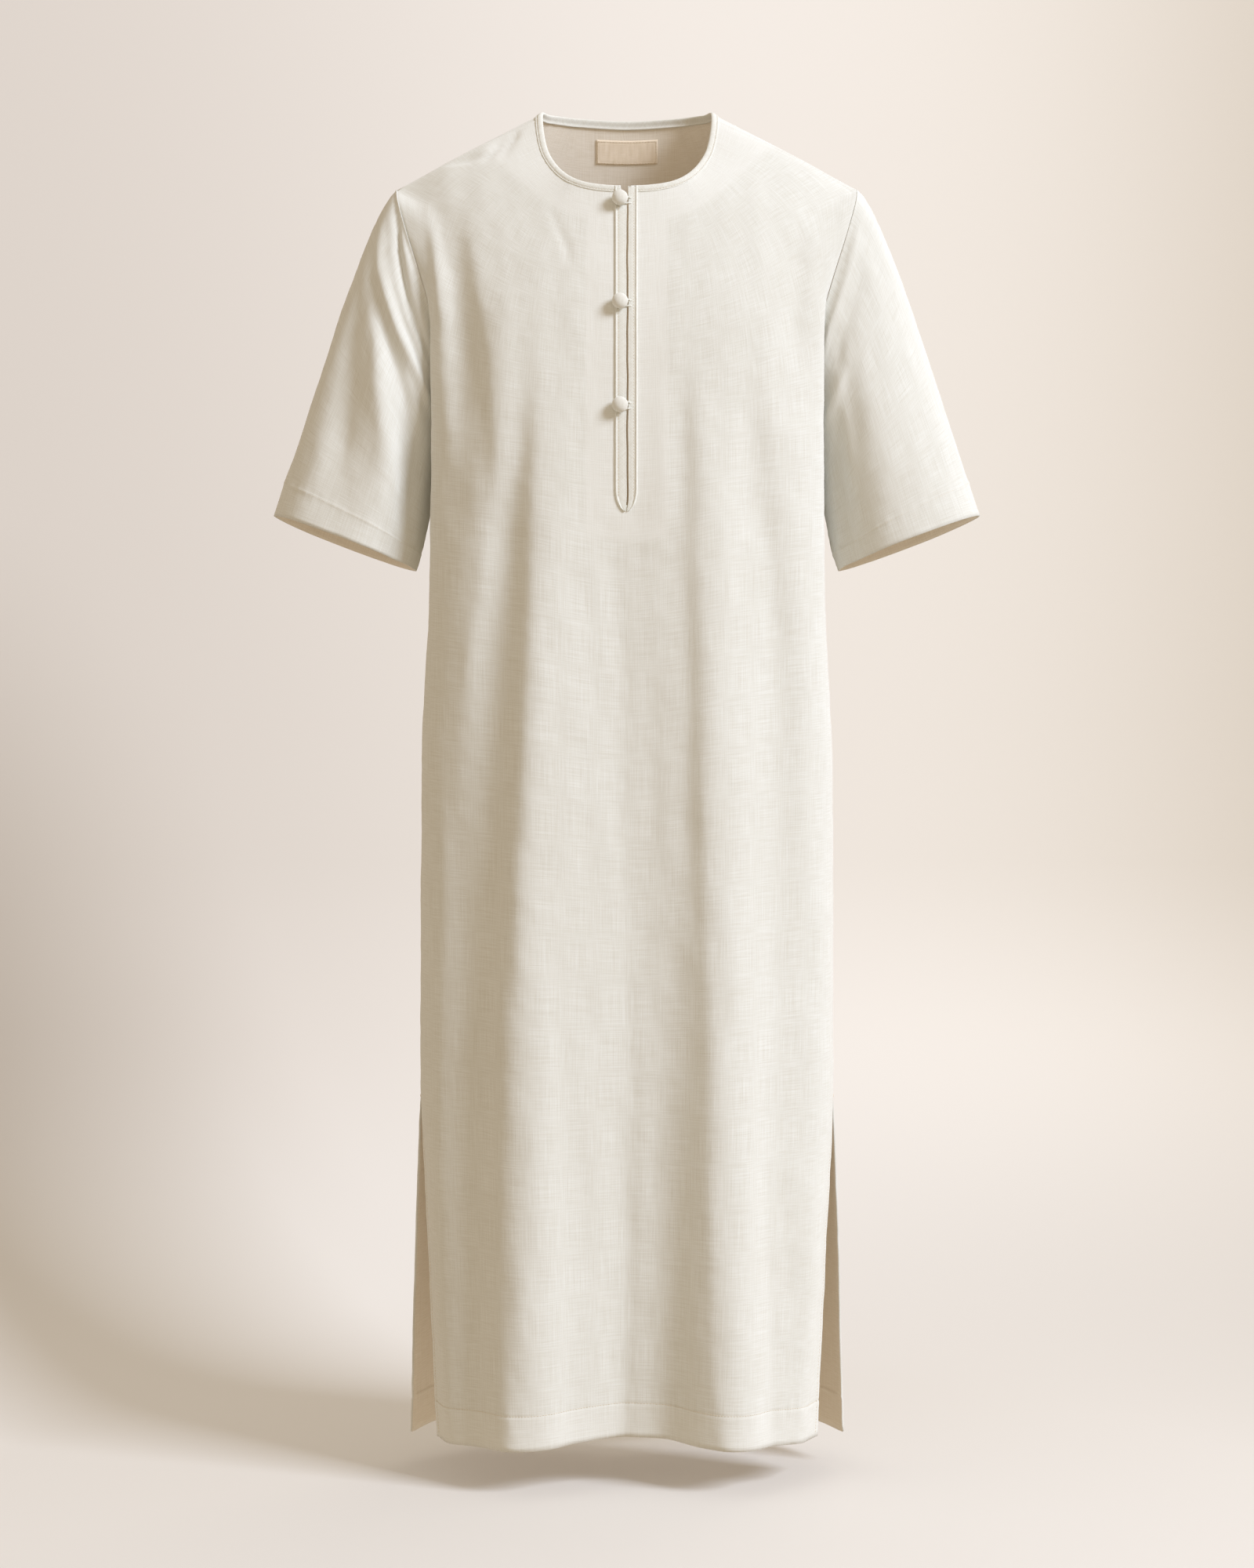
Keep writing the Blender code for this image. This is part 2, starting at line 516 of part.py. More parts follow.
def sleeve_sheet(name, front, back):
    """A sleeve whose first ring is the armhole of the two panels."""
    arm = [i for i, v in enumerate(ROWS) if UNDERARM_V - 1e-6 <= v <= TIP_V + 1e-6]
    column = 0 if name == "sleeve_right" else -1
    ring = np.concatenate([front[arm[::-1], column], back[arm[1:-1], column]])
    v = ROWS[arm]
    tau = np.concatenate([(TIP_V - v[::-1]) / (TIP_V - UNDERARM_V),
                          1.0 + (v[1:-1] - UNDERARM_V) / (TIP_V - UNDERARM_V)])
    grid = sleeve(name, tau[None, :], SLEEVE_STEPS[:, None])
    grid[0] = ring
    wall = np.full(grid.shape[:2], WALL)
    wall[-2:] = TURNED
    faces = grid_faces(len(SLEEVE_STEPS), len(tau), wrap=True)
    if name == "sleeve_right":
        faces = [turned(f) for f in faces]
    return Sheet(name, grid.reshape(-1, 3), faces, wall.ravel())


def binding_sheet(front, front_edge, back, back_edge):
    """Neck binding: a low band from the slit round the back of the neck to the slit again."""
    left = int(np.argmin(np.abs(panel_columns("front") - SLIT_COLUMNS[1])))
    low = np.concatenate([front[-1, left::-1], back[-1, 1:-1], front[-1, :left:-1]])
    top = np.concatenate([front_edge[left::-1], back_edge[1:-1], front_edge[:left:-1]])
    count = len(low)
    grid = np.stack([low, top])
    faces = [turned(f) for f in grid_faces(2, count)]
    return Sheet("neck_binding", grid.reshape(-1, 3), faces, 0.0021, 0.0006)


class Surface:
    """The flat faces of a panel grid, read at any column and row value."""

    def __init__(self, face, grid):
        self.c, self.grid = panel_columns(face), grid
        rows, columns = grid.shape[:2]
        faces = grid_faces(rows, columns)
        if face == "back":
            faces = [turned(f) for f in faces]
        sheet = Sheet("surface", grid.reshape(-1, 3), faces, WALL)
        self.normal = sheet.normals.reshape(grid.shape)
        self.rows = ROWS

    def weights(self, c, v):
        """Place of c and v between the grid lines."""
        j = np.clip(np.searchsorted(self.c, c, side="right") - 1, 0, len(self.c) - 2)
        i = np.clip(np.searchsorted(self.rows, v, side="right") - 1, 0, len(self.rows) - 2)
        return i, j, (v - self.rows[i]) / (self.rows[i + 1] - self.rows[i]), (c - self.c[j]) / (self.c[j + 1] - self.c[j])

    def read(self, values, c, v):
        """Blend of the four grid points round a place."""
        i, j, a, b = self.weights(np.asarray(c, float), np.asarray(v, float))
        a, b = a[..., None], b[..., None]
        return ((values[i, j] * (1 - b) + values[i, j + 1] * b) * (1 - a)
                + (values[i + 1, j] * (1 - b) + values[i + 1, j + 1] * b) * a)

    def point(self, c, v, out):
        """Place moved out from the sheet."""
        c, v = np.broadcast_arrays(np.asarray(c, float), np.asarray(v, float))
        return self.read(self.grid, c, v) + unit(self.read(self.normal, c, v)) * np.asarray(out)[..., None]

    def row_at(self, c, z):
        """Row value at which column c passes the height z."""
        heights = self.read(self.grid, np.full(len(self.rows), float(c)), self.rows)[:, 2]
        return float(np.interp(z, heights, self.rows))


def strip(name, surface, outer_c, edge_c, inner_c):
    """Placket strip on the front: from its raised outer edge to the slit, closing below in a bow."""
    end = surface.row_at(0.0, STRIP_END_Z)
    rows = np.concatenate([[end, end + 0.002, end + 0.006, end + 0.014], ROWS[ROWS > end + 0.016]])
    rows[-1] = NECK_V - 0.0004
    middle = 0.5 * (SLIT_COLUMNS[0] + SLIT_COLUMNS[3])
    half = 0.5 * (SLIT_COLUMNS[3] - SLIT_COLUMNS[0])
    bow = np.sqrt(1.0 - np.clip((end + BOW - rows) / BOW, 0.0, 1.0) ** 2)
    side = -1.0 if outer_c < 0.0 else 1.0
    outer = side * (middle * side + half * np.maximum(bow, 0.25))
    inner_c = inner_c - 0.016 * smooth(NOTCH_V, NECK_V, rows) * (side < 0.0)
    inner = middle + (inner_c - middle) * smooth(0.3, 1.0, bow) + side * 0.0012
    width = np.abs(inner - outer)
    lip = outer - side * np.minimum(LIP, 0.4 * width)
    lip_foot = outer - side * np.minimum(LIP_FOOT, 0.5 * width)
    low, high = np.minimum(lip_foot, inner), np.maximum(lip_foot, inner)
    edge = np.clip(edge_c, low + 0.2 * (high - low), high - 0.2 * (high - low))
    columns = np.stack([outer, lip, lip_foot, edge, inner], -1)
    height = CLEAR + np.array([PIPING, PIPING, STRIP, STRIP, STRIP])
    base = surface.point(columns, rows[:, None], np.full(columns.shape, CLEAR)).reshape(-1, 3)
    top = surface.point(columns, rows[:, None], np.broadcast_to(height, columns.shape)).reshape(-1, 3)
    faces = grid_faces(len(rows), 5)
    if side > 0.0:
        faces = [turned(f) for f in faces]
    sheet = Sheet(name, top, faces, 0.0)
    return solid_mesh(top, base, sheet.faces, sheet.rim())


def frame_at(surface, x, z):
    """Point on the front sheet with its outward, sideways and upward directions."""
    c = x / X_PER_C
    v = surface.row_at(c, z)
    across_row = surface.read(surface.grid, surface.c, np.full(len(surface.c), v))[:, 0]
    c = float(np.interp(x, across_row, surface.c))
    p = surface.point(np.array([c]), np.array([v]), np.array([0.0]))[0]
    n = unit(surface.read(surface.normal, np.array([c]), np.array([v])))[0]
    across = unit(np.array([1.0, 0.0, 0.0]) - n * n[0])
    return p, n, across, np.cross(across, n) * -1.0


def ball_button(surface, z):
    """Cloth-covered ball on a short shank, turned about the outward direction."""
    p, n, across, up = frame_at(surface, BUTTON_X, z)
    foot = CLEAR + STRIP + 0.0005
    centre = foot + BUTTON_OUT
    turn = np.arccos(SHANK_R / BUTTON_R)
    angles = np.linspace(-turn, np.pi / 2, 9)[:-1]
    profile = [(SHANK_R, foot)] + [(BUTTON_R * np.cos(a), centre + BUTTON_R * np.sin(a)) for a in angles]
    count = 16
    rim = np.linspace(0.0, 2 * np.pi, count, endpoint=False)
    rings = [p + n * h + r * (np.cos(rim)[:, None] * across + np.sin(rim)[:, None] * up) for r, h in profile]
    points = np.vstack(rings + [(p + n * (centre + BUTTON_R))[None], (p + n * foot)[None]])
    top, bottom = len(points) - 2, len(points) - 1
    faces = grid_faces(len(rings), count, wrap=True)
    last = (len(rings) - 1) * count
    faces += [(last + k, last + (k + 1) % count, top) for k in range(count)]
    faces += [((k + 1) % count, k, bottom) for k in range(count)]
    return points, faces


def cord_loop(surface, z):
    """Turned cord from the over strip round the shank of a button and back."""
    p, n, across, up = frame_at(surface, BUTTON_X, z)
    height = SEAM_GAP + PIPING + 0.0006 + CORD_R
    radius = SHANK_R + 0.0006 + CORD_R
    reach = LOOP_END_X - BUTTON_X
    turn = np.linspace(-np.pi / 2, -1.5 * np.pi, 9)
    path = [(reach, -radius), (reach * 0.45, -radius)] + [(radius * np.cos(a), radius * np.sin(a)) for a in turn]
    path += [(reach * 0.45, radius), (reach, radius)]
    line = np.array([p + n * height + across * a + up * b for a, b in path])
    along = unit(np.gradient(line, axis=0))
    sideways = np.cross(n, along)
    ring = np.linspace(0.0, 2 * np.pi, 6, endpoint=False)
    rings = [q + CORD_R * (np.cos(ring)[:, None] * n + np.sin(ring)[:, None] * s) for q, s in zip(line, sideways)]
    points = np.vstack(rings)
    faces = [turned(f) for f in grid_faces(len(rings), 6, wrap=True)]
    faces += [tuple(range(6)), tuple(range((len(rings) - 1) * 6 + 5, (len(rings) - 1) * 6 - 1, -1))]
    return points, faces


def neck_label(surface):
    """Blank label on the inside of the back, one row of faces tall and four columns wide."""
    c, v = np.meshgrid(np.array([-HALF[0], 0.0, HALF[0]]), LABEL_V)
    near = surface.point(c, v, np.full(c.shape, -(WALL + CLEAR))).reshape(-1, 3)
    far = surface.point(c, v, np.full(c.shape, -(WALL + CLEAR + LABEL_WALL))).reshape(-1, 3)
    sheet = Sheet("label", far, grid_faces(2, 3), 0.0)
    return solid_mesh(far, near, sheet.faces, sheet.rim())


def pocket(side, front, back):
    """Bag behind the front: its mouth at the side seam, closed by a fold deep inside."""
    depth = np.array([0.985, 0.90, 0.80, 0.70, 0.60])
    rings = []
    for k, c in enumerate(depth):
        spread = smooth(0.0, 2.0, float(k))
        top, low = POCKET_V[1] - 0.002 + 0.004 * spread, POCKET_V[0] + 0.002 - 0.085 * spread
        v = np.linspace(top, low, 7)
        behind = POCKET_BEHIND + (0.0022 if k == 0 else 0.0)
        near = front.point(np.full(7, side * c), v, -behind * np.ones(7))
        far = front.point(np.full(7, side * c), v, -(behind + POCKET_FLAT) * np.ones(7))
        if k == 0:
            far[1:-1] = back.point(np.full(5, side * 0.985), v[1:-1], -behind * np.ones(5))
        rings.append(np.concatenate([near, far[::-1]]))
    grid = np.array(rings)
    count = grid.shape[1]
    faces = grid_faces(len(depth), count, wrap=True)
    last = (len(depth) - 1) * count
    faces += [(last + i, last + i + 1, last + count - 2 - i, last + count - 1 - i) for i in range(6)]
    if side < 0:
        faces = [turned(f) for f in faces]
    return Sheet("pocket", grid.reshape(-1, 3), faces, 0.0005, 0.0005)


def main():
    """Build every piece."""
    clear()
    linen = material("linen", (0.86, 0.82, 0.74), 0.9)
    trim = material("linen_trim", (0.84, 0.80, 0.72), 0.85)
    bag = material("pocket_cotton", (0.80, 0.77, 0.70), 0.9)
    woven = material("label_weave", (0.72, 0.62, 0.47), 0.7)
    covered = material("button_cloth", (0.85, 0.81, 0.74), 0.85)
    front, front_edge = panel_points("front")
    back, back_edge = panel_points("back")
    for row, v in enumerate(ROWS):
        side_sewn = SLIT_TOP_V - 1e-6 < v < UNDERARM_V + 1e-6 and not POCKET_V[0] + 1e-6 < v < POCKET_V[1] - 1e-6
        if side_sewn or v > TIP_V - 1e-6:
            back[row, 0], back[row, -1] = front[row, 0], front[row, -1]
    sheets = [panel_sheet("front", front), panel_sheet("back", back),
              sleeve_sheet("sleeve_right", front, back), sleeve_sheet("sleeve_left", front, back),
              binding_sheet(front, front_edge, back, back_edge)]
    for name, (points, faces) in walls(sheets).items():
        place_object(name, points, faces, trim if name == "neck_binding" else linen)
    on_front, on_back = Surface("front", front), Surface("back", back)
    place_object("placket_under", *strip("under", on_front, SLIT_COLUMNS[0], SLIT_COLUMNS[1], 0.0060), trim)
    place_object("placket_over", *strip("over", on_front, SLIT_COLUMNS[3], SLIT_COLUMNS[2], 0.0080), trim)
    for k, z in enumerate(BUTTON_Z, 1):
        place_object(f"button_{k}", *ball_button(on_front, z), covered)
        place_object(f"loop_{k}", *cord_loop(on_front, z), trim)
    place_object("label", *neck_label(on_back), woven, False)
    for name, side in (("pocket_right", -1.0), ("pocket_left", 1.0)):
        sheet = pocket(side, on_front, on_back)
        outer = sheet.points + sheet.normals * sheet.outwards[:, None]
        inner = sheet.points - sheet.normals * sheet.inwards[:, None]
        place_object(name, *solid_mesh(outer, inner, sheet.faces, sheet.rim()), bag)


main()
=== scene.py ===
"""Thobe robe in undyed slubbed linen: the looks of each sewn piece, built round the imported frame.

Metres, +Z up, the wearer faces -Y and +X is the wearer's left. Every cloth piece is a surface of
two parameters, moved along its own normal by folds, seams and stitching, and given a thin wall.
"""
import logging
from dataclasses import dataclass, field
from enum import Enum

import bpy
import numpy as np
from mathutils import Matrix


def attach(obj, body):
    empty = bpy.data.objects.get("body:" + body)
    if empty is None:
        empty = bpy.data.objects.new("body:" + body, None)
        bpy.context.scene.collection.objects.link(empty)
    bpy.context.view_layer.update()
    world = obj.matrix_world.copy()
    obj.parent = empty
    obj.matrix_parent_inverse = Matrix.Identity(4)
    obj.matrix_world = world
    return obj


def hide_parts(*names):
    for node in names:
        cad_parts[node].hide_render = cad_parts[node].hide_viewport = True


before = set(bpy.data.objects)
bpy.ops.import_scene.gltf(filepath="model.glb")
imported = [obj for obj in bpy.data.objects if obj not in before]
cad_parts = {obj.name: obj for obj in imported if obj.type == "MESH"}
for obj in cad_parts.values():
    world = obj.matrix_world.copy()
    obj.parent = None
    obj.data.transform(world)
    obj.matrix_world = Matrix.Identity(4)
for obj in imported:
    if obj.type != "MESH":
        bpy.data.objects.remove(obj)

log = logging.getLogger("thobe")
Array = np.ndarray
Rows = tuple[tuple[float, ...], ...]
Faces = np.ndarray | list[list[int]]
Finish = bpy.types.Material
Place = tuple[float, float, float]

# rows up a panel: v, in metres from the hem
SLIT_TOP_V, UNDERARM_V, TIP_V, NECK_V = 0.3296, 1.0, 1.22, 1.36
SLIT_END_V, NOTCH_V = 0.942, 1.336
POCKET_LOW_V, POCKET_HIGH_V = 0.6638, 0.8121
HEM_V = 0.035
# columns across a panel: c, -1 to 1, and metres for one unit of c near the middle
STRIP_OUT_RIGHT, SLIT_RIGHT, SLIT_LEFT, STRIP_OUT_LEFT = -0.0383, -0.0031, 0.0125, 0.0333
X_PER_C = 0.321
# the row of stitches round a cuff: t, 0 at the armhole to 1 at the cuff
CUFF_T = 0.908
# thickness of the cloth, single and where an edge is turned in
CLOTH = 0.0011
TURNED = 0.0021


class Face(Enum):
    """Which side of the body a panel covers."""

    FRONT = "front"
    BACK = "back"


class Side(Enum):
    """The wearer's side; the value is the sign of X."""

    RIGHT = -1.0
    LEFT = 1.0


# ---- small mathematics -------------------------------------------------------------------
def smooth(low: float, high: float, x: Array | float) -> Array:
    """Ramp from 0 at low to 1 at high, 3t^2 - 2t^3."""
    t = np.clip((np.asarray(x, float) - low) / (high - low), 0.0, 1.0)
    return t * t * (3.0 - 2.0 * t)


def bell(x: Array, half: float) -> Array:
    """Bell curve exp(-(x / half)^2)."""
    return np.exp(-((x / half) ** 2))


def unit(a: Array) -> Array:
    """Vectors brought to length one."""
    return a / np.maximum(np.linalg.norm(a, axis=-1, keepdims=True), 1e-12)


def hermite(p0: Array, p1: Array, m0: Array, m1: Array, t: Array) -> Array:
    """Cubic from p0 to p1 that leaves with speed m0 and arrives with speed m1."""
    t2, t3 = t * t, t * t * t
    return p0 * (2 * t3 - 3 * t2 + 1) + m0 * (t3 - 2 * t2 + t) + p1 * (3 * t2 - 2 * t3) + m1 * (t3 - t2)


def run_along(path: Array) -> Array:
    """Length of a path from its start to each of its points."""
    return np.concatenate([[0.0], np.cumsum(np.linalg.norm(np.diff(path, axis=0), axis=-1))])


def read_rows(rows: Rows, x: Array) -> Array:
    """Smooth curve through the rows of a table.

    The speed at an inner knot is the mean of the slopes on both sides, each weighted by the other
    side's step, and between knots the curve is the cubic of hermite().

    Args:
        rows: knot in the first column, values in the others.
        x: where to read.

    Returns:
        The values at x, in a new last axis.
    """
    data, x = np.asarray(rows, float), np.asarray(x, float)
    knots, values = data[:, 0], data[:, 1:]
    step = np.diff(knots)
    slope = np.diff(values, axis=0) / step[:, None]
    speed = np.empty_like(values)
    weighted = slope[:-1] * step[1:, None] + slope[1:] * step[:-1, None]
    speed[1:-1] = weighted / (step[1:] + step[:-1])[:, None]
    speed[0], speed[-1] = slope[0], slope[-1]
    i = np.clip(np.searchsorted(knots, x, side="right") - 1, 0, len(knots) - 2)
    h = step[i][..., None]
    t = ((x - knots[i]) / step[i])[..., None]
    return hermite(values[i], values[i + 1], speed[i] * h, speed[i + 1] * h, t)


def grid_normals(points: Array, wrap: bool) -> Array:
    """Normals of a grid of points: the cross product of its steps across and its steps up.

    Args:
        points: rows x columns x 3.
        wrap: True where the last column meets the first.

    Returns:
        Unit vectors, the same shape.
    """
    if wrap:
        across = np.roll(points, -1, axis=1) - np.roll(points, 1, axis=1)
    else:
        across = np.gradient(points, axis=1)
    return unit(np.cross(across, np.gradient(points, axis=0)))


def uneven(a: Array, b: Array, size: float, seed: int, count: int = 14) -> Array:
    """Smooth unevenness: a sum of sines that run in random directions, about -1 to 1.

    Args:
        a, b: places on the cloth, in metres.
        size: mean length of a wave, in metres.
        seed: which unevenness.
        count: number of sines.

    Returns:
        Height at each place.
    """
    rng = np.random.default_rng(seed)
    angle, phase = rng.uniform(0.0, 2 * np.pi, count), rng.uniform(0.0, 2 * np.pi, count)
    k = 2 * np.pi / (size * rng.uniform(0.6, 1.7, count))
    waves = np.sin(a[..., None] * k * np.cos(angle) + b[..., None] * k * np.sin(angle) + phase)
    return waves.sum(-1) / np.sqrt(2.0 * count)


# ---- meshes --------------------------------------------------------------------------------
def grid_faces(rows: int, columns: int, wrap: bool = False, keep: Array | None = None) -> Array:
    """Four-sided faces (a, right, up-right, up) of a grid whose points run row after row.

    Args:
        rows, columns: size of the grid.
        wrap: True joins the last column to the first.
        keep: which cells exist, rows - 1 by columns (wrap) or columns - 1.

    Returns:
        Faces, n x 4.
    """
    across = columns if wrap else columns - 1
    i, j = np.meshgrid(np.arange(rows - 1), np.arange(across), indexing="ij")
    k = (j + 1) % columns
    low, high = i * columns, (i + 1) * columns
    faces = np.stack([low + j, low + k, high + k, high + j], -1)
    return faces[keep] if keep is not None else faces.reshape(-1, 4)


def rod_faces(rows: int, columns: int) -> Array:
    """Faces of a rod of rings, closed at both ends by strips from one side of the end ring to the other.

    Args:
        rows: number of rings.
        columns: points in a ring, an even number.

    Returns:
        Faces, n x 4.
    """
    k = np.arange(columns // 2 - 1)
    cap = np.stack([k, k + 1, columns - 2 - k, columns - 1 - k], -1)
    return np.vstack([grid_faces(rows, columns, wrap=True), cap[:, ::-1], cap + (rows - 1) * columns])


def closed_shell(outer: Array, inner: Array, faces: Array) -> tuple[Array, Array]:
    """Body between two copies of a sheet: both copies, and a wall round every free edge.

    A free edge is one whose reverse is in no face.

    Args:
        outer, inner: points of the two copies, n x 3.
        faces: four-sided faces of the outer copy, seen from outside.

    Returns:
        Points and four-sided faces.
    """
    n = len(outer)
    start, end = faces.ravel(), np.roll(faces, -1, axis=1).ravel()
    free = ~np.isin(start * n + end, end * n + start)
    a, b = start[free], end[free]
    wall = np.stack([b, a, a + n, b + n], -1)
    return np.vstack([outer, inner]), np.vstack([faces, faces[:, ::-1] + n, wall])


def outwards(points: Array, faces: Faces) -> Faces:
    """Turn a closed body's faces outwards: its volume, the sum of p0 . (p1 x p2) / 6, is above zero.

    Args:
        points: the body's points.
        faces: its faces, as an array of four-sided ones or a list with three or four sides.

    Returns:
        The faces, reversed if the volume was below zero.
    """
    four = np.array([f for f in faces if len(f) == 4])
    three = np.array([f for f in faces if len(f) == 3], int).reshape(-1, 3)
    triangles = np.vstack([four[:, (0, 1, 2)], four[:, (0, 2, 3)], three])
    a, b, c = (points[triangles[:, k]] for k in range(3))
    if np.sum(a * np.cross(b, c)) > 0.0:
        return faces
    return [f[::-1] for f in faces] if isinstance(faces, list) else faces[:, ::-1]


def tube(path: Array, radius: float, sides: int, plies: float, up: Array) -> tuple[Array, Array]:
    """Twisted cord along a path: centre + r (cos a * side + sin a * other), closed at both ends.

    The radius swells as 1 + 0.13 cos(2a - turns * length), one lobe for each of two plies.

    Args:
        path: k x 3 centres.
        radius: mean radius.
        sides: points round the cord, an even number.
        plies: turns of twist for each metre.
        up: a direction that is never along the path.

    Returns:
        Points and four-sided faces.
    """
    along = unit(np.gradient(path, axis=0))
    side = unit(np.cross(np.broadcast_to(up, path.shape), along))
    other = np.cross(along, side)
    a = np.linspace(0.0, 2 * np.pi, sides, endpoint=False)
    swell = 1.0 + 0.13 * np.cos(2 * a[None, :] - 2 * np.pi * plies * run_along(path)[:, None])
    ring = np.cos(a)[None, :, None] * side[:, None] + np.sin(a)[None, :, None] * other[:, None]
    rings = path[:, None] + (radius * swell)[..., None] * ring
    return rings.reshape(-1, 3), rod_faces(len(path), sides)


def join(parts: list[tuple[Array, Array]]) -> tuple[Array, Array]:
    """Several bodies as one list of points and one of faces."""
    offsets = np.cumsum([0] + [len(p) for p, _ in parts[:-1]])
    return np.vstack([p for p, _ in parts]), np.vstack([f + o for (_, f), o in zip(parts, offsets)])


def by_length(path: Array, step: float) -> Array:
    """A path's points again, evenly spaced along its length.

    Args:
        path: k rows; the first three columns are places, and others, such as normals, are carried along.
        step: about how far apart, in metres.

    Returns:
        The new rows.
    """
    run = run_along(path[:, :3])
    at = np.linspace(0.0, run[-1], max(int(round(run[-1] / step)), 2) + 1)
    return np.stack([np.interp(at, run, path[:, k]) for k in range(path.shape[1])], -1)


def make_piece(name: str, points: Array, faces: Faces, finish: Finish,
               stands_for: tuple[str, ...], cloth_uv: Array, marks: dict[str, Array] | None = None,
               inside: tuple[Finish, int, int] | None = None) -> bpy.types.Object:
    """Put points and faces into a mesh object that rides on the robe.

    Args:
        name: the piece's name.
        points, faces: the body.
        finish: its material.
        stands_for: the CAD nodes that it replaces.
        cloth_uv: place on the flat cloth of each point, in metres.
        marks: further numbers for each point, by attribute name.
        inside: a second material, with the first and the last face that wear it.

    Returns:
        The object.
    """
    mesh = bpy.data.meshes.new(name)
    mesh.from_pydata(points.tolist(), [], faces if isinstance(faces, list) else faces.tolist())
    mesh.update()
    mesh.polygons.foreach_set("use_smooth", np.ones(len(mesh.polygons), bool))
    corner = np.empty(len(mesh.loops), np.int32)
    mesh.loops.foreach_get("vertex_index", corner)
    mesh.uv_layers.new(name="cloth").data.foreach_set("uv", cloth_uv[corner].astype(np.float32).ravel())
    for key, values in (marks or {}).items():
        mesh.attributes.new(key, "FLOAT", "POINT").data.foreach_set("value", values.astype(np.float32))
    mesh.materials.append(finish)
    if inside:
        mesh.materials.append(inside[0])
        index = np.zeros(len(faces), np.int32)
        index[inside[1]:inside[2]] = 1
        mesh.polygons.foreach_set("material_index", index)
    piece = bpy.data.objects.new(name, mesh)
    bpy.context.scene.collection.objects.link(piece)
    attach(piece, "root")
    if stands_for:
        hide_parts(*stands_for)
    log.info("%s: %d faces", name, len(faces))
    return piece


# ---- folds ---------------------------------------------------------------------------------
@dataclass(frozen=True)
class Fold:
    """A crest, or a hollow where its depth is below zero, that runs down the cloth.

    line holds (along, across, depth) from its start to its end. The height at a place is
    depth * exp(-((across - centre) / half)^2), and half is a different length on each side.
    """

    line: Rows
    low_half: float
    high_half: float

    def height(self, along: Array, across: Array) -> Array:
        """Height of this fold at places on the cloth.

        Args:
            along, across: the places, in the units of line.

        Returns:
            Height in metres.
        """
        data = np.asarray(self.line)
        centre = np.interp(along, data[:, 0], data[:, 1])
        depth = np.interp(along, data[:, 0], data[:, 2])
        away = across - centre
        return depth * np.exp(-((away / np.where(away < 0.0, self.low_half, self.high_half)) ** 2))


def even(line: Rows, half: float) -> Fold:
    """A fold with the same slope on both sides."""
    return Fold(line, half, half)


FRONT_SECTIONS: Rows = (
    (0.000, -0.116, -1.364, 0.098, -0.120, -1.368, 0.176, -0.092, -1.372),
    (0.165, -0.122, -1.199, 0.103, -0.123, -1.200, 0.187, -0.084, -1.200),
    (0.330, -0.127, -1.033, 0.106, -0.124, -1.032, 0.194, -0.076, -1.028),
    (0.542, -0.128, -0.820, 0.107, -0.124, -0.812, 0.197, -0.073, -0.805),
    (0.695, -0.129, -0.666, 0.107, -0.124, -0.655, 0.198, -0.073, -0.645),
    (0.828, -0.127, -0.533, 0.107, -0.122, -0.518, 0.1965, -0.071, -0.503),
    (0.920, -0.125, -0.440, 0.107, -0.120, -0.422, 0.1985, -0.069, -0.408),
    (1.000, -0.123, -0.360, 0.107, -0.118, -0.350, 0.1990, -0.070, -0.332),
    (1.075, -0.120, -0.300, 0.106, -0.114, -0.288, 0.1965, -0.071, -0.255),
    (1.150, -0.115, -0.248, 0.102, -0.108, -0.228, 0.186, -0.071, -0.188),
    (1.220, -0.105, -0.193, 0.092, -0.096, -0.172, 0.165, -0.060, -0.122),
    (1.290, -0.090, -0.140, 0.073, -0.080, -0.120, 0.126, -0.048, -0.076),
    (1.360, -0.074, -0.086, 0.052, -0.066, -0.078, 0.080, -0.036, -0.047))
BACK_SECTIONS: Rows = (
    (0.000, 0.130, -1.372, 0.100, 0.128, -1.374, 0.192, 0.096, -1.378),
    (0.165, 0.131, -1.203, 0.104, 0.128, -1.203, 0.197, 0.090, -1.204),
    (0.330, 0.130, -1.033, 0.106, 0.127, -1.031, 0.197, 0.082, -1.027),
    (0.542, 0.127, -0.816, 0.107, 0.124, -0.810, 0.197, 0.078, -0.804),
    (0.695, 0.121, -0.658, 0.107, 0.119, -0.650, 0.197, 0.075, -0.643),
    (0.828, 0.108, -0.520, 0.107, 0.107, -0.510, 0.198, 0.069, -0.500),
    (0.920, 0.106, -0.424, 0.107, 0.106, -0.414, 0.199, 0.067, -0.404),
    (1.000, 0.110, -0.340, 0.107, 0.111, -0.334, 0.199, 0.069, -0.324),
    (1.075, 0.114, -0.278, 0.106, 0.115, -0.268, 0.197, 0.071, -0.250),
    (1.150, 0.114, -0.214, 0.102, 0.114, -0.202, 0.187, 0.071, -0.178),
    (1.220, 0.104, -0.144, 0.092, 0.099, -0.134, 0.166, 0.058, -0.110),
    (1.290, 0.084, -0.070, 0.073, 0.078, -0.065, 0.126, 0.045, -0.052),
    (1.360, 0.056, 0.0056, 0.052, 0.049, 0.0072, 0.080, 0.030, 0.0068))
SIDE_SEAM: Rows = (
    (0.3296, 0.2155, 0.000, -1.025), (0.542, 0.2142, 0.000, -0.800), (0.695, 0.2105, 0.001, -0.638),
    (0.760, 0.2050, 0.001, -0.569), (0.828, 0.1975, 0.001, -0.497), (0.920, 0.1860, 0.001, -0.400),
    (1.000, 0.1750, 0.000, -0.315))
SHOULDER: Rows = ((1.2200, 0.2405, -0.004, -0.078), (1.2900, 0.1660, -0.004, -0.0375),
                  (1.3600, 0.0885, -0.003, 0.0000))
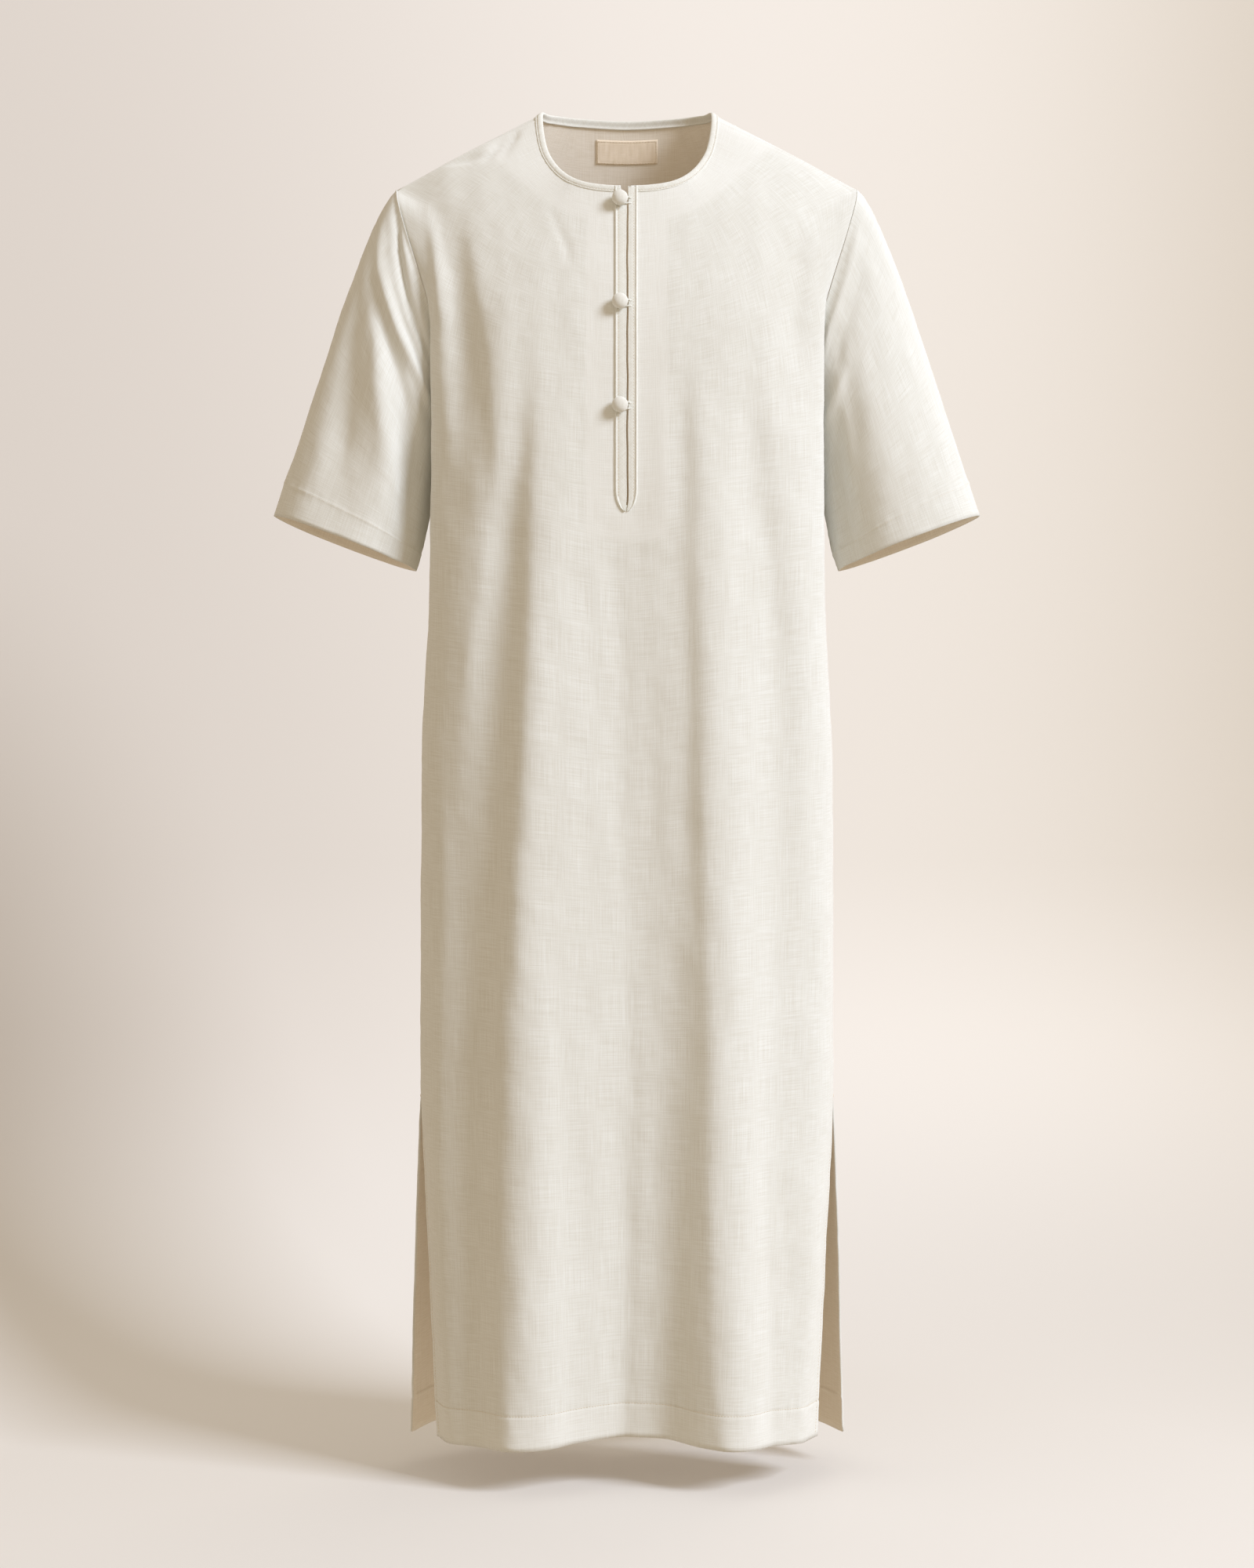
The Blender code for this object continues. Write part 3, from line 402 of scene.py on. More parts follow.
SLIT_EDGE: dict[Face, Rows] = {
    Face.FRONT: ((0.0, 0.1980, -0.030, -1.3745), (0.0776, 0.2022, -0.022, -1.292),
                 (0.2160, 0.2098, -0.008, -1.145),
                 (0.2900, 0.2142, -0.002, -1.067), (0.3296, 0.2155, 0.000, -1.025)),
    Face.BACK: ((0.0, 0.2285, 0.022, -1.380), (0.0776, 0.2260, 0.017, -1.297),
                (0.2160, 0.2215, 0.008, -1.147),
                (0.2900, 0.2180, 0.002, -1.068), (0.3296, 0.2155, 0.000, -1.025))}
ARMHOLE: dict[Face, Rows] = {
    Face.FRONT: ((1.0000, 0.1750, 0.000, -0.315), (1.0244, 0.1810, -0.026, -0.302),
                 (1.0594, 0.1895, -0.046, -0.264),
                 (1.0928, 0.1995, -0.053, -0.222), (1.1322, 0.2140, -0.049, -0.173),
                 (1.1764, 0.2300, -0.037, -0.122),
                 (1.2030, 0.2385, -0.022, -0.091), (1.2200, 0.2405, -0.004, -0.078)),
    Face.BACK: ((1.0000, 0.1750, 0.000, -0.315), (1.0244, 0.1810, 0.026, -0.303),
                (1.0594, 0.1895, 0.047, -0.267),
                (1.0928, 0.1990, 0.055, -0.225), (1.1322, 0.2115, 0.052, -0.177),
                (1.1764, 0.2280, 0.038, -0.123),
                (1.2030, 0.2375, 0.016, -0.089), (1.2200, 0.2405, -0.004, -0.078))}
# along is the drop below the collar line, across is x
FRONT_FOLDS: tuple[Fold, ...] = (
    even(((0.24, -0.079, 0.0), (0.32, -0.086, 0.0035), (0.40, -0.093, 0.007), (0.57, -0.094, 0.011),
          (0.70, -0.100, 0.013), (0.82, -0.102, 0.0155), (0.94, -0.104, 0.018), (1.06, -0.103, 0.020),
          (1.17, -0.102, 0.021), (1.38, -0.108, 0.024)), 0.050),
    even(((0.30, 0.076, 0.0), (0.45, 0.078, 0.005), (0.60, 0.082, 0.008), (0.80, 0.090, 0.011),
          (1.00, 0.095, 0.016), (1.20, 0.098, 0.019), (1.38, 0.102, 0.022)), 0.046),
    even(((0.38, 0.010, 0.0), (0.60, 0.024, -0.006), (0.82, 0.026, -0.011), (1.10, 0.018, -0.019),
          (1.38, 0.012, -0.028)), 0.058),
    even(((0.20, -0.124, 0.0), (0.30, -0.136, 0.004), (0.40, -0.150, 0.006), (0.55, -0.169, 0.005),
          (0.72, -0.182, 0.0)), 0.026),
    even(((0.32, -0.112, 0.0), (0.45, -0.122, -0.006), (0.62, -0.138, -0.007), (0.86, -0.158, -0.008),
          (1.15, -0.160, -0.009), (1.38, -0.160, -0.012)), 0.028),
    even(((0.28, 0.120, 0.0), (0.42, 0.134, -0.005), (0.55, 0.146, -0.006), (0.80, 0.152, -0.007),
          (1.10, 0.158, -0.009), (1.38, 0.166, -0.012)), 0.030),
    even(((0.30, 0.160, 0.0), (0.42, 0.168, 0.004), (0.60, 0.180, 0.004), (0.90, 0.184, 0.0)), 0.024),
    even(((0.19, -0.160, 0.0), (0.24, -0.164, -0.005), (0.30, -0.164, -0.005), (0.38, -0.162, -0.003),
          (0.46, -0.160, 0.0)), 0.024))
# sharper creases that ride on the large folds of the front
FRONT_CREASES: tuple[Fold, ...] = (
    Fold(((0.022, -0.129, 0.0), (0.033, -0.134, -0.0036), (0.045, -0.143, -0.0030),
          (0.056, -0.149, 0.0)), 0.004, 0.006),
    Fold(((0.014, -0.114, 0.0), (0.026, -0.119, -0.0036), (0.037, -0.125, -0.0030),
          (0.056, -0.131, 0.0)), 0.004, 0.005),
    Fold(((0.040, -0.153, 0.0), (0.047, -0.164, -0.0030), (0.052, -0.175, -0.0030),
          (0.056, -0.186, 0.0)), 0.010, 0.014),
    Fold(((0.100, -0.082, 0.0), (0.130, -0.072, -0.0012), (0.152, -0.063, -0.0022),
          (0.174, -0.059, 0.0)), 0.003, 0.006),
    Fold(((0.28, -0.106, 0.0), (0.36, -0.110, -0.003), (0.46, -0.116, -0.0045), (0.70, -0.126, -0.004),
          (0.94, -0.142, -0.004), (1.17, -0.140, -0.003), (1.38, -0.140, -0.002)), 0.020, 0.015),
    Fold(((0.24, -0.083, 0.0), (0.31, -0.087, 0.0024), (0.40, -0.092, 0.0032), (0.57, -0.095, 0.0034),
          (0.70, -0.100, 0.0030), (0.94, -0.104, 0.0012), (1.17, -0.102, 0.0006),
          (1.38, -0.107, 0.0004)), 0.012, 0.026),
    Fold(((0.28, 0.050, 0.0), (0.36, 0.054, -0.0030), (0.56, 0.060, -0.0036), (0.78, 0.064, -0.0030),
          (0.94, 0.062, -0.0024), (1.10, 0.052, -0.0024), (1.38, 0.044, -0.0026)), 0.022, 0.016),
    Fold(((0.26, 0.068, 0.0), (0.36, 0.071, 0.0020), (0.70, 0.077, 0.0030), (0.95, 0.083, 0.0030),
          (1.29, 0.087, 0.0030), (1.38, 0.100, 0.0030)), 0.009, 0.026),
    Fold(((0.43, -0.020, 0.0), (0.50, -0.014, -0.0016), (0.62, -0.006, -0.0018), (0.82, 0.000, -0.0012),
          (1.00, 0.004, 0.0)), 0.012, 0.012),
    Fold(((0.28, 0.122, 0.0), (0.34, 0.128, -0.0020), (0.50, 0.149, -0.0024), (0.70, 0.166, -0.0018),
          (0.86, 0.172, 0.0)), 0.014, 0.010),
    Fold(((0.112, -0.200, 0.0), (0.14, -0.197, 0.0032), (0.184, -0.192, 0.0052), (0.225, -0.189, 0.0036),
          (0.30, -0.187, 0.0018), (0.42, -0.186, 0.0)), 0.007, 0.020),
    Fold(((0.100, -0.166, 0.0), (0.14, -0.158, 0.0020), (0.20, -0.149, 0.0032), (0.27, -0.138, 0.0036),
          (0.36, -0.128, 0.0016), (0.44, -0.126, 0.0)), 0.010, 0.026),
    Fold(((0.100, -0.197, 0.0), (0.122, -0.192, -0.0036), (0.169, -0.182, -0.0058),
          (0.195, -0.178, -0.0058), (0.224, -0.174, -0.0050), (0.264, -0.170, -0.0036),
          (0.34, -0.166, 0.0)), 0.009, 0.018),
    Fold(((0.28, -0.184, 0.0), (0.31, -0.183, 0.0024), (0.34, -0.181, 0.0024),
          (0.39, -0.178, 0.0)), 0.007, 0.009),
    Fold(((0.24, -0.112, 0.0), (0.34, -0.124, 0.0016), (0.46, -0.139, 0.0022), (0.62, -0.164, 0.0018),
          (0.76, -0.176, 0.0)), 0.010, 0.018),
    Fold(((0.10, 0.168, 0.0), (0.15, 0.178, -0.0020), (0.21, 0.176, -0.0026),
          (0.30, 0.170, 0.0)), 0.014, 0.009),
    Fold(((0.20, 0.130, 0.0), (0.27, 0.140, 0.0018), (0.36, 0.150, 0.0016),
          (0.46, 0.160, 0.0)), 0.010, 0.016),
    Fold(((0.74, -0.060, 0.0), (0.90, -0.066, -0.0022), (1.10, -0.060, -0.0030),
          (1.38, -0.056, -0.0036)), 0.014, 0.020),
    Fold(((0.86, 0.010, 0.0), (1.02, 0.018, 0.0022), (1.20, 0.014, 0.0034),
          (1.38, 0.010, 0.0040)), 0.010, 0.020),
    Fold(((0.95, 0.134, 0.0), (1.10, 0.140, -0.0024), (1.38, 0.148, -0.0040)), 0.016, 0.010),
    Fold(((0.62, -0.188, 0.0), (0.80, -0.186, 0.0020), (1.00, -0.190, 0.0014),
          (1.16, -0.192, 0.0)), 0.008, 0.014))
BACK_FOLDS: tuple[Fold, ...] = (
    even(((0.34, -0.085, 0.0), (0.55, -0.095, 0.008), (0.80, -0.108, 0.014), (1.10, -0.118, 0.020),
          (1.38, -0.128, 0.026)), 0.042),
    even(((0.30, 0.100, 0.0), (0.50, 0.104, 0.007), (0.80, 0.110, 0.012), (1.10, 0.120, 0.022),
          (1.38, 0.134, 0.028)), 0.040),
    even(((0.30, -0.012, 0.0), (0.55, -0.008, -0.007), (0.85, 0.000, -0.013), (1.15, 0.008, -0.022),
          (1.38, 0.012, -0.030)), 0.050),
    even(((0.36, 0.052, 0.0), (0.50, 0.050, 0.004), (0.70, 0.046, 0.003), (0.85, 0.046, 0.0)), 0.024),
    even(((0.42, -0.150, 0.0), (0.60, -0.156, -0.006), (0.95, -0.166, -0.009),
          (1.38, -0.172, -0.012)), 0.028),
    even(((0.38, 0.150, 0.0), (0.62, 0.158, -0.005), (1.00, 0.166, -0.009), (1.38, 0.178, -0.012)), 0.028))
BACK_CREASES: tuple[Fold, ...] = (
    Fold(((0.30, -0.076, 0.0), (0.44, -0.090, 0.0024), (0.70, -0.102, 0.0034), (1.05, -0.116, 0.0034),
          (1.38, -0.126, 0.0034)), 0.026, 0.010),
    Fold(((0.26, 0.096, 0.0), (0.42, 0.102, 0.0024), (0.72, 0.108, 0.0034), (1.05, 0.118, 0.0030),
          (1.38, 0.132, 0.0034)), 0.010, 0.026),
    Fold(((0.40, -0.048, 0.0), (0.60, -0.052, -0.0030), (0.90, -0.056, -0.0036),
          (1.38, -0.060, -0.0050)), 0.012, 0.018),
    Fold(((0.44, 0.072, 0.0), (0.66, 0.074, -0.0026), (1.00, 0.078, -0.0036),
          (1.38, 0.086, -0.0050)), 0.016, 0.010),
    Fold(((0.12, -0.170, 0.0), (0.20, -0.160, -0.0030), (0.32, -0.146, -0.0030),
          (0.44, -0.142, 0.0)), 0.012, 0.016),
    Fold(((0.10, 0.186, 0.0), (0.19, 0.176, -0.0036), (0.30, 0.158, -0.0028),
          (0.42, 0.150, 0.0)), 0.016, 0.012),
    Fold(((0.07, -0.020, 0.0), (0.16, -0.026, 0.0016), (0.30, -0.022, 0.0018),
          (0.42, -0.014, 0.0)), 0.018, 0.022),
    Fold(((0.80, 0.020, 0.0), (1.00, 0.028, 0.0024), (1.38, 0.034, 0.0040)), 0.020, 0.012),
    Fold(((0.56, -0.188, 0.0), (0.80, -0.190, 0.0022), (1.10, -0.194, 0.0012),
          (1.20, -0.196, 0.0)), 0.012, 0.010))
# along is t down the sleeve (0 armhole, 1 cuff), across is tau round it (0 tip, 1 underarm in front, 2 tip)
SLEEVE_FOLDS: dict[Side, tuple[Fold, ...]] = {
    Side.RIGHT: (
        even(((0.30, 0.32, 0.0), (0.40, 0.40, -0.0070), (0.50, 0.475, -0.0095), (0.60, 0.555, -0.0090),
              (0.72, 0.62, -0.0070), (0.86, 0.66, -0.0040), (0.98, 0.68, -0.0010)), 0.085),
        even(((0.34, 0.14, 0.0), (0.46, 0.21, 0.005), (0.58, 0.30, 0.0085), (0.72, 0.37, 0.0085),
              (0.86, 0.42, 0.005), (1.00, 0.44, 0.003)), 0.095),
        even(((0.36, 0.66, 0.0), (0.48, 0.72, 0.006), (0.62, 0.76, 0.008), (0.80, 0.78, 0.007),
              (1.00, 0.79, 0.004)), 0.120),
        even(((0.30, 1.40, 0.0), (0.60, 1.38, 0.006), (1.00, 1.40, 0.003)), 0.10),
        even(((0.40, 1.66, 0.0), (0.70, 1.68, -0.005), (1.00, 1.70, -0.004)), 0.09)),
    Side.LEFT: (
        even(((0.30, 0.48, 0.0), (0.55, 0.52, -0.003), (0.80, 0.54, -0.003), (1.00, 0.54, -0.002)), 0.13),
        even(((0.34, 0.74, 0.0), (0.50, 0.79, 0.006), (0.70, 0.82, 0.009), (1.00, 0.84, 0.006)), 0.13),
        even(((0.25, 1.36, 0.0), (0.60, 1.34, 0.006), (1.00, 1.32, 0.004)), 0.10),
        even(((0.40, 1.62, 0.0), (0.70, 1.60, -0.005), (1.00, 1.62, -0.004)), 0.09))}
SLEEVE_CREASES: dict[Side, tuple[Fold, ...]] = {
    Side.RIGHT: (
        Fold(((0.62, 0.60, 0.0), (0.74, 0.64, 0.0016), (0.88, 0.66, 0.0016),
              (1.00, 0.67, 0.0)), 0.050, 0.020),
        Fold(((0.10, 1.50, 0.0), (0.30, 1.44, 0.0040), (0.62, 1.40, 0.0034),
              (0.90, 1.40, 0.0)), 0.034, 0.050),
        Fold(((0.20, 1.72, 0.0), (0.46, 1.66, -0.0036), (0.80, 1.64, 0.0)), 0.050, 0.034)),
    Side.LEFT: (
        Fold(((0.14, 0.56, 0.0), (0.34, 0.60, 0.0016), (0.62, 0.64, 0.0016),
              (0.92, 0.66, 0.0)), 0.060, 0.040),
        Fold(((0.12, 1.48, 0.0), (0.34, 1.42, 0.0040), (0.64, 1.36, 0.0036),
              (0.92, 1.34, 0.0)), 0.034, 0.050),
        Fold(((0.24, 1.70, 0.0), (0.50, 1.64, -0.0036), (0.82, 1.60, 0.0)), 0.050, 0.034))}

# pulls that run round a sleeve near its armhole: along is tau, across is t
SLEEVE_PULLS: dict[Side, tuple[Fold, ...]] = {
    Side.RIGHT: (
        Fold(((0.06, 0.040, 0.0), (0.165, 0.062, 0.0036), (0.245, 0.104, 0.0060), (0.34, 0.132, 0.0070),
              (0.43, 0.150, 0.0066), (0.52, 0.146, 0.0052), (0.62, 0.126, 0.0036),
              (0.72, 0.110, 0.0)), 0.030, 0.030),
        even(((0.26, 0.215, 0.0), (0.36, 0.225, 0.0022), (0.46, 0.235, 0.0036), (0.56, 0.225, 0.0030),
              (0.68, 0.215, 0.0)), 0.026),
        even(((0.08, 0.170, 0.0), (0.215, 0.252, -0.0046), (0.355, 0.268, -0.0064),
              (0.465, 0.276, -0.0064), (0.575, 0.270, -0.0056), (0.74, 0.250, -0.0040),
              (0.86, 0.230, 0.0)), 0.042),
        even(((0.16, 0.290, 0.0), (0.275, 0.320, 0.0030), (0.39, 0.352, 0.0046), (0.505, 0.372, 0.0046),
              (0.63, 0.400, 0.0030), (0.74, 0.430, 0.0)), 0.046),
        even(((1.25, 0.30, 0.0), (1.38, 0.24, -0.0034), (1.55, 0.21, -0.0040), (1.70, 0.20, 0.0)), 0.040),
        even(((1.22, 0.42, 0.0), (1.36, 0.34, 0.0034), (1.56, 0.31, 0.0036), (1.72, 0.30, 0.0)), 0.046)),
    Side.LEFT: (
        even(((0.16, 0.080, 0.0), (0.245, 0.094, -0.0018), (0.42, 0.104, -0.0026), (0.60, 0.100, -0.0026),
              (0.76, 0.110, 0.0)), 0.032),
        even(((0.20, 0.160, 0.0), (0.34, 0.200, 0.0016), (0.54, 0.210, 0.0022), (0.74, 0.200, 0.0)), 0.050),
        even(((0.50, 0.300, 0.0), (0.62, 0.320, -0.0022), (0.76, 0.310, -0.0026),
              (0.86, 0.300, 0.0)), 0.040),
        even(((1.24, 0.26, 0.0), (1.40, 0.21, -0.0034), (1.60, 0.19, -0.0034), (1.74, 0.18, 0.0)), 0.038),
        even(((1.26, 0.38, 0.0), (1.42, 0.31, 0.0034), (1.58, 0.29, 0.0030), (1.72, 0.28, 0.0)), 0.044))}


# ---- the form that the robe keeps -------------------------------------------------------------
@dataclass
class PanelForm:
    """Form of the front or the back panel as it hangs, with folds, seams and turned edges."""

    face: Face
    seam_sink: float = 0.0006
    seam_half: float = 0.0022
    stitch_sink: float = 0.00045
    edge_turn: float = 0.0078
    pucker: float = 0.0003

    def side_line(self, v: Array) -> Array:
        """The sewn or free side of the panel on the wearer's left, read from its tables.

        Args:
            v: rows.

        Returns:
            A place for each row.
        """
        v = np.asarray(v, float)
        out = np.empty(v.shape + (3,))
        spans = ((-1.0, SLIT_TOP_V, SLIT_EDGE[self.face]), (SLIT_TOP_V, UNDERARM_V, SIDE_SEAM),
                 (UNDERARM_V, TIP_V, ARMHOLE[self.face]), (TIP_V, 9.0, SHOULDER))
        for low, high, rows in spans:
            inside = (v > low) & (v <= high)
            out[inside] = read_rows(rows, v[inside])
        return out

    @staticmethod
    def sections(face: Face, v: Array) -> tuple[Array, Array, Array]:
        """Middle, third and corner points of a row on the wearer's left."""
        t = read_rows(FRONT_SECTIONS if face is Face.FRONT else BACK_SECTIONS, v)
        return np.stack([np.zeros_like(t[..., 0]), t[..., 0], t[..., 1]], -1), t[..., 2:5], t[..., 5:8]

    @staticmethod
    def share(c: Array, v: Array, third_x: Array) -> Array:
        """Share of the way to the side: |c|, with the middle kept at a constant width on every row.

        Args:
            c, v: columns and rows.
            third_x: how far out the row's third point lies.

        Returns:
            0 at the middle to 1 at the side.
        """
        a = np.abs(c)
        hold = 1.0 - smooth(0.05, 0.42, a)
        s = a * (1.0 + hold * (X_PER_C / (3.0 * third_x) - 1.0))
        flare = smooth(NOTCH_V, NECK_V, v) * (1.0 - smooth(0.0031, 0.03, a)) * (c < 0.0)
        return np.clip(s + 0.0345 * flare, 0.0, 1.0)

    def form(self, c: Array, v: Array) -> Array:
        """Fold-free panel: three cubics, middle to third to corner to side, on each half of a row.

        Args:
            c, v: columns and rows.

        Returns:
            Places.
        """
        c, v = np.broadcast_arrays(np.asarray(c, float), np.asarray(v, float))
        middle, third, corner = self.sections(self.face, v)
        other = self.sections(Face.BACK if self.face is Face.FRONT else Face.FRONT, v)[2]
        side = self.side_line(v)
        level = np.clip(v, 0.0, NECK_V)
        ring = 1.0 - smooth(1.0, 1.05, level) * (1.0 - smooth(1.20, 1.27, level))
        ring = (ring * smooth(0.26, 0.34, level))[..., None]
        s = self.share(c, v, third[..., 0])[..., None]
        speed_middle, speed_third = third * np.array([3.0, 0.0, 0.0]), (corner - middle) * 1.5
        speed_corner = (side - third) * 1.5
        speed_side = (other - corner) * 1.5 * ring + (side - corner) * 3.0 * (1.0 - ring)
        k = 1.0 / 3.0
        inner = hermite(middle, third, speed_middle * k, speed_third * k, s / k)
        central = hermite(third, corner, speed_third * k, speed_corner * k, (s - k) / k)
        outer = hermite(corner, side, speed_corner * k, speed_side * k, (s - 2 * k) / k)
        p = np.where(s < k, inner, np.where(s < 2 * k, central, outer))
        return p * np.stack([np.where(c < 0.0, -1.0, 1.0), np.ones_like(c), np.ones_like(c)], -1)

    def form_normal(self, c: Array, v: Array) -> Array:
        """Outward normal of the fold-free panel, from steps of 0.004 across and up.

        Args:
            c, v: columns and rows.

        Returns:
            Unit vectors.
        """
        e = 0.004
        across = self.form(np.minimum(c + e, 1.0), v) - self.form(np.maximum(c - e, -1.0), v)
        up = self.form(c, np.minimum(v + e, NECK_V)) - self.form(c, np.maximum(v - e, 0.0))
        n = np.cross(across, up)
        return unit(n if self.face is Face.FRONT else -n)

    def relief(self, c: Array, v: Array, p: Array) -> Array:
        """Height above the fold-free panel.

        The large folds, then the creases and a slow unevenness, all held at the sewn sides, at the
        neck and beside the placket, and the marks that sewing leaves.

        Args:
            c, v: columns and rows.
            p: the fold-free places there.

        Returns:
            Height in metres.
        """
        front = self.face is Face.FRONT
        folds, fine = (FRONT_FOLDS, FRONT_CREASES) if front else (BACK_FOLDS, BACK_CREASES)
        x, drop = p[..., 0], -p[..., 2]
        side_gap = np.linalg.norm(p - self.form(np.where(c < 0.0, -1.0, 1.0), v), axis=-1)
        sewn = smooth(SLIT_TOP_V - 0.002, SLIT_TOP_V + 0.004, v)
        on_seam = (np.abs(c) >= 1.0) & (v >= SLIT_TOP_V - 1e-6)
        hold = smooth(0.0, 0.16, 1.0 - np.abs(c))
        hold = hold + (1.0 - hold) * 0.25 * (1.0 - smooth(0.22, 0.36, v))
        hold = hold * (1.0 - smooth(1.24, 1.34, v)) * np.where(on_seam, 0.0, 1.0)
        large = sum(f.height(drop, x) for f in folds) * hold
        placket = (1.0 - smooth(0.030, 0.055, np.abs(x + 0.001))) * front
        beside = 1.0 - placket * smooth(SLIT_END_V - 0.03, SLIT_END_V + 0.01, v)
        near_seam = smooth(0.0, 0.008, side_gap) * sewn + (1.0 - sewn)
        creases = sum(f.height(drop, x) for f in fine) * beside * near_seam * (1.0 - smooth(1.332, 1.352, v))
        calm = (smooth(0.0, 0.020, side_gap) * sewn + (1.0 - sewn)) * (1.0 - smooth(1.25, 1.33, v))
        slow = 0.0006 * uneven(x * 1.6, drop * 0.45, 0.055, 5 if front else 6)
        quick = 0.00022 * uneven(x, drop * 0.7, 0.017, 8 if front else 9)
        drift = (slow + quick) * calm * (0.35 + 0.65 * beside)
        return large + creases + drift + self.sewing_marks(v, x, drop, side_gap, calm)

    def sewing_marks(self, v: Array, x: Array, drop: Array, side_gap: Array, calm: Array) -> Array:
        """Heights that sewing leaves: a bell sunk along each row, and sines beside it for puckers.

        Args:
            v: rows.
            x, drop: how far to the wearer's left and below the collar line.
            side_gap: distance from the panel's side.
            calm: 0 where the cloth is held, 1 where it may pucker.

        Returns:
            Height in metres.
        """
        sewn = smooth(SLIT_TOP_V - 0.002, SLIT_TOP_V + 0.004, v)
        seam = -self.seam_sink * bell(side_gap, self.seam_half) * sewn
        along = np.where(v > UNDERARM_V, v, drop)
        wave = np.sin(along * 2 * np.pi / 0.0105 + 2.0 * uneven(along, x * 0.2, 0.06, 4))
        pucker = self.pucker * wave * bell(side_gap - 0.005, 0.0055) * sewn * calm
        top_row = -0.0005 * bell(side_gap - 0.0075, 0.0011) * smooth(TIP_V - 0.006, TIP_V + 0.004, v)
        hem = -self.stitch_sink * bell(v - HEM_V, 0.0013) + 0.0002 * bell(v - HEM_V + 0.004, 0.003)
        hem_wave = np.sin(x * 2 * np.pi / 0.013 + 3.0 * uneven(x, v, 0.08, 3))
        hem_pucker = 0.00028 * hem_wave * bell(v - HEM_V, 0.010)
        slit = -self.stitch_sink * bell(side_gap - self.edge_turn, 0.0012) * (1.0 - sewn)
        return seam + pucker + top_row + hem + hem_pucker + slit

    def pocket_mouth(self, c: Array, v: Array) -> Array:
        """Shift of the front's edge at a pocket, so that the seam stands open: a flat-topped hump.

        Args:
            c, v: columns and rows.

        Returns:
            Shifts, in metres.
        """
        rise = smooth(POCKET_LOW_V, POCKET_LOW_V + 0.02, v)
        hump = rise * (1.0 - smooth(POCKET_HIGH_V - 0.02, POCKET_HIGH_V, v))
        hump = hump * smooth(0.955, 1.0, np.abs(c)) * (self.face is Face.FRONT)
        way = np.stack([-0.0016 * np.sign(c), np.full_like(c, -0.0034), np.zeros_like(c)], -1)
        return hump[..., None] * way

    def point(self, c: Array, v: Array) -> Array:
        """Place on the cloth's outside: the fold-free panel moved along its normal by the relief.

        Args:
            c, v: columns and rows.

        Returns:
            Places.
        """
        c, v = np.broadcast_arrays(np.asarray(c, float), np.asarray(v, float))
        p = self.form(c, v)
        return p + self.form_normal(c, v) * self.relief(c, v, p)[..., None] + self.pocket_mouth(c, v)

    def frame(self, c: Array, v: Array) -> tuple[Array, Array]:
        """Places on the folded cloth and its true outward normals, from steps of 0.003 each way.

        Args:
            c, v: columns and rows.

        Returns:
            Places and unit vectors.
        """
        e = 0.003
        across = self.point(np.minimum(c + e, 1.0), v) - self.point(np.maximum(c - e, -1.0), v)
        up = self.point(c, np.minimum(v + e, NECK_V)) - self.point(c, np.maximum(v - e, 0.0))
        n = unit(np.cross(across, up))
        return self.point(c, v), n if self.face is Face.FRONT else -n

    def row_at(self, c: float, z: float) -> float:
        """Row at which column c passes the height z, between the values of a fine table."""
        v = np.linspace(0.0, NECK_V, 1400)
        return float(np.interp(z, self.point(np.full_like(v, c), v)[:, 2], v))


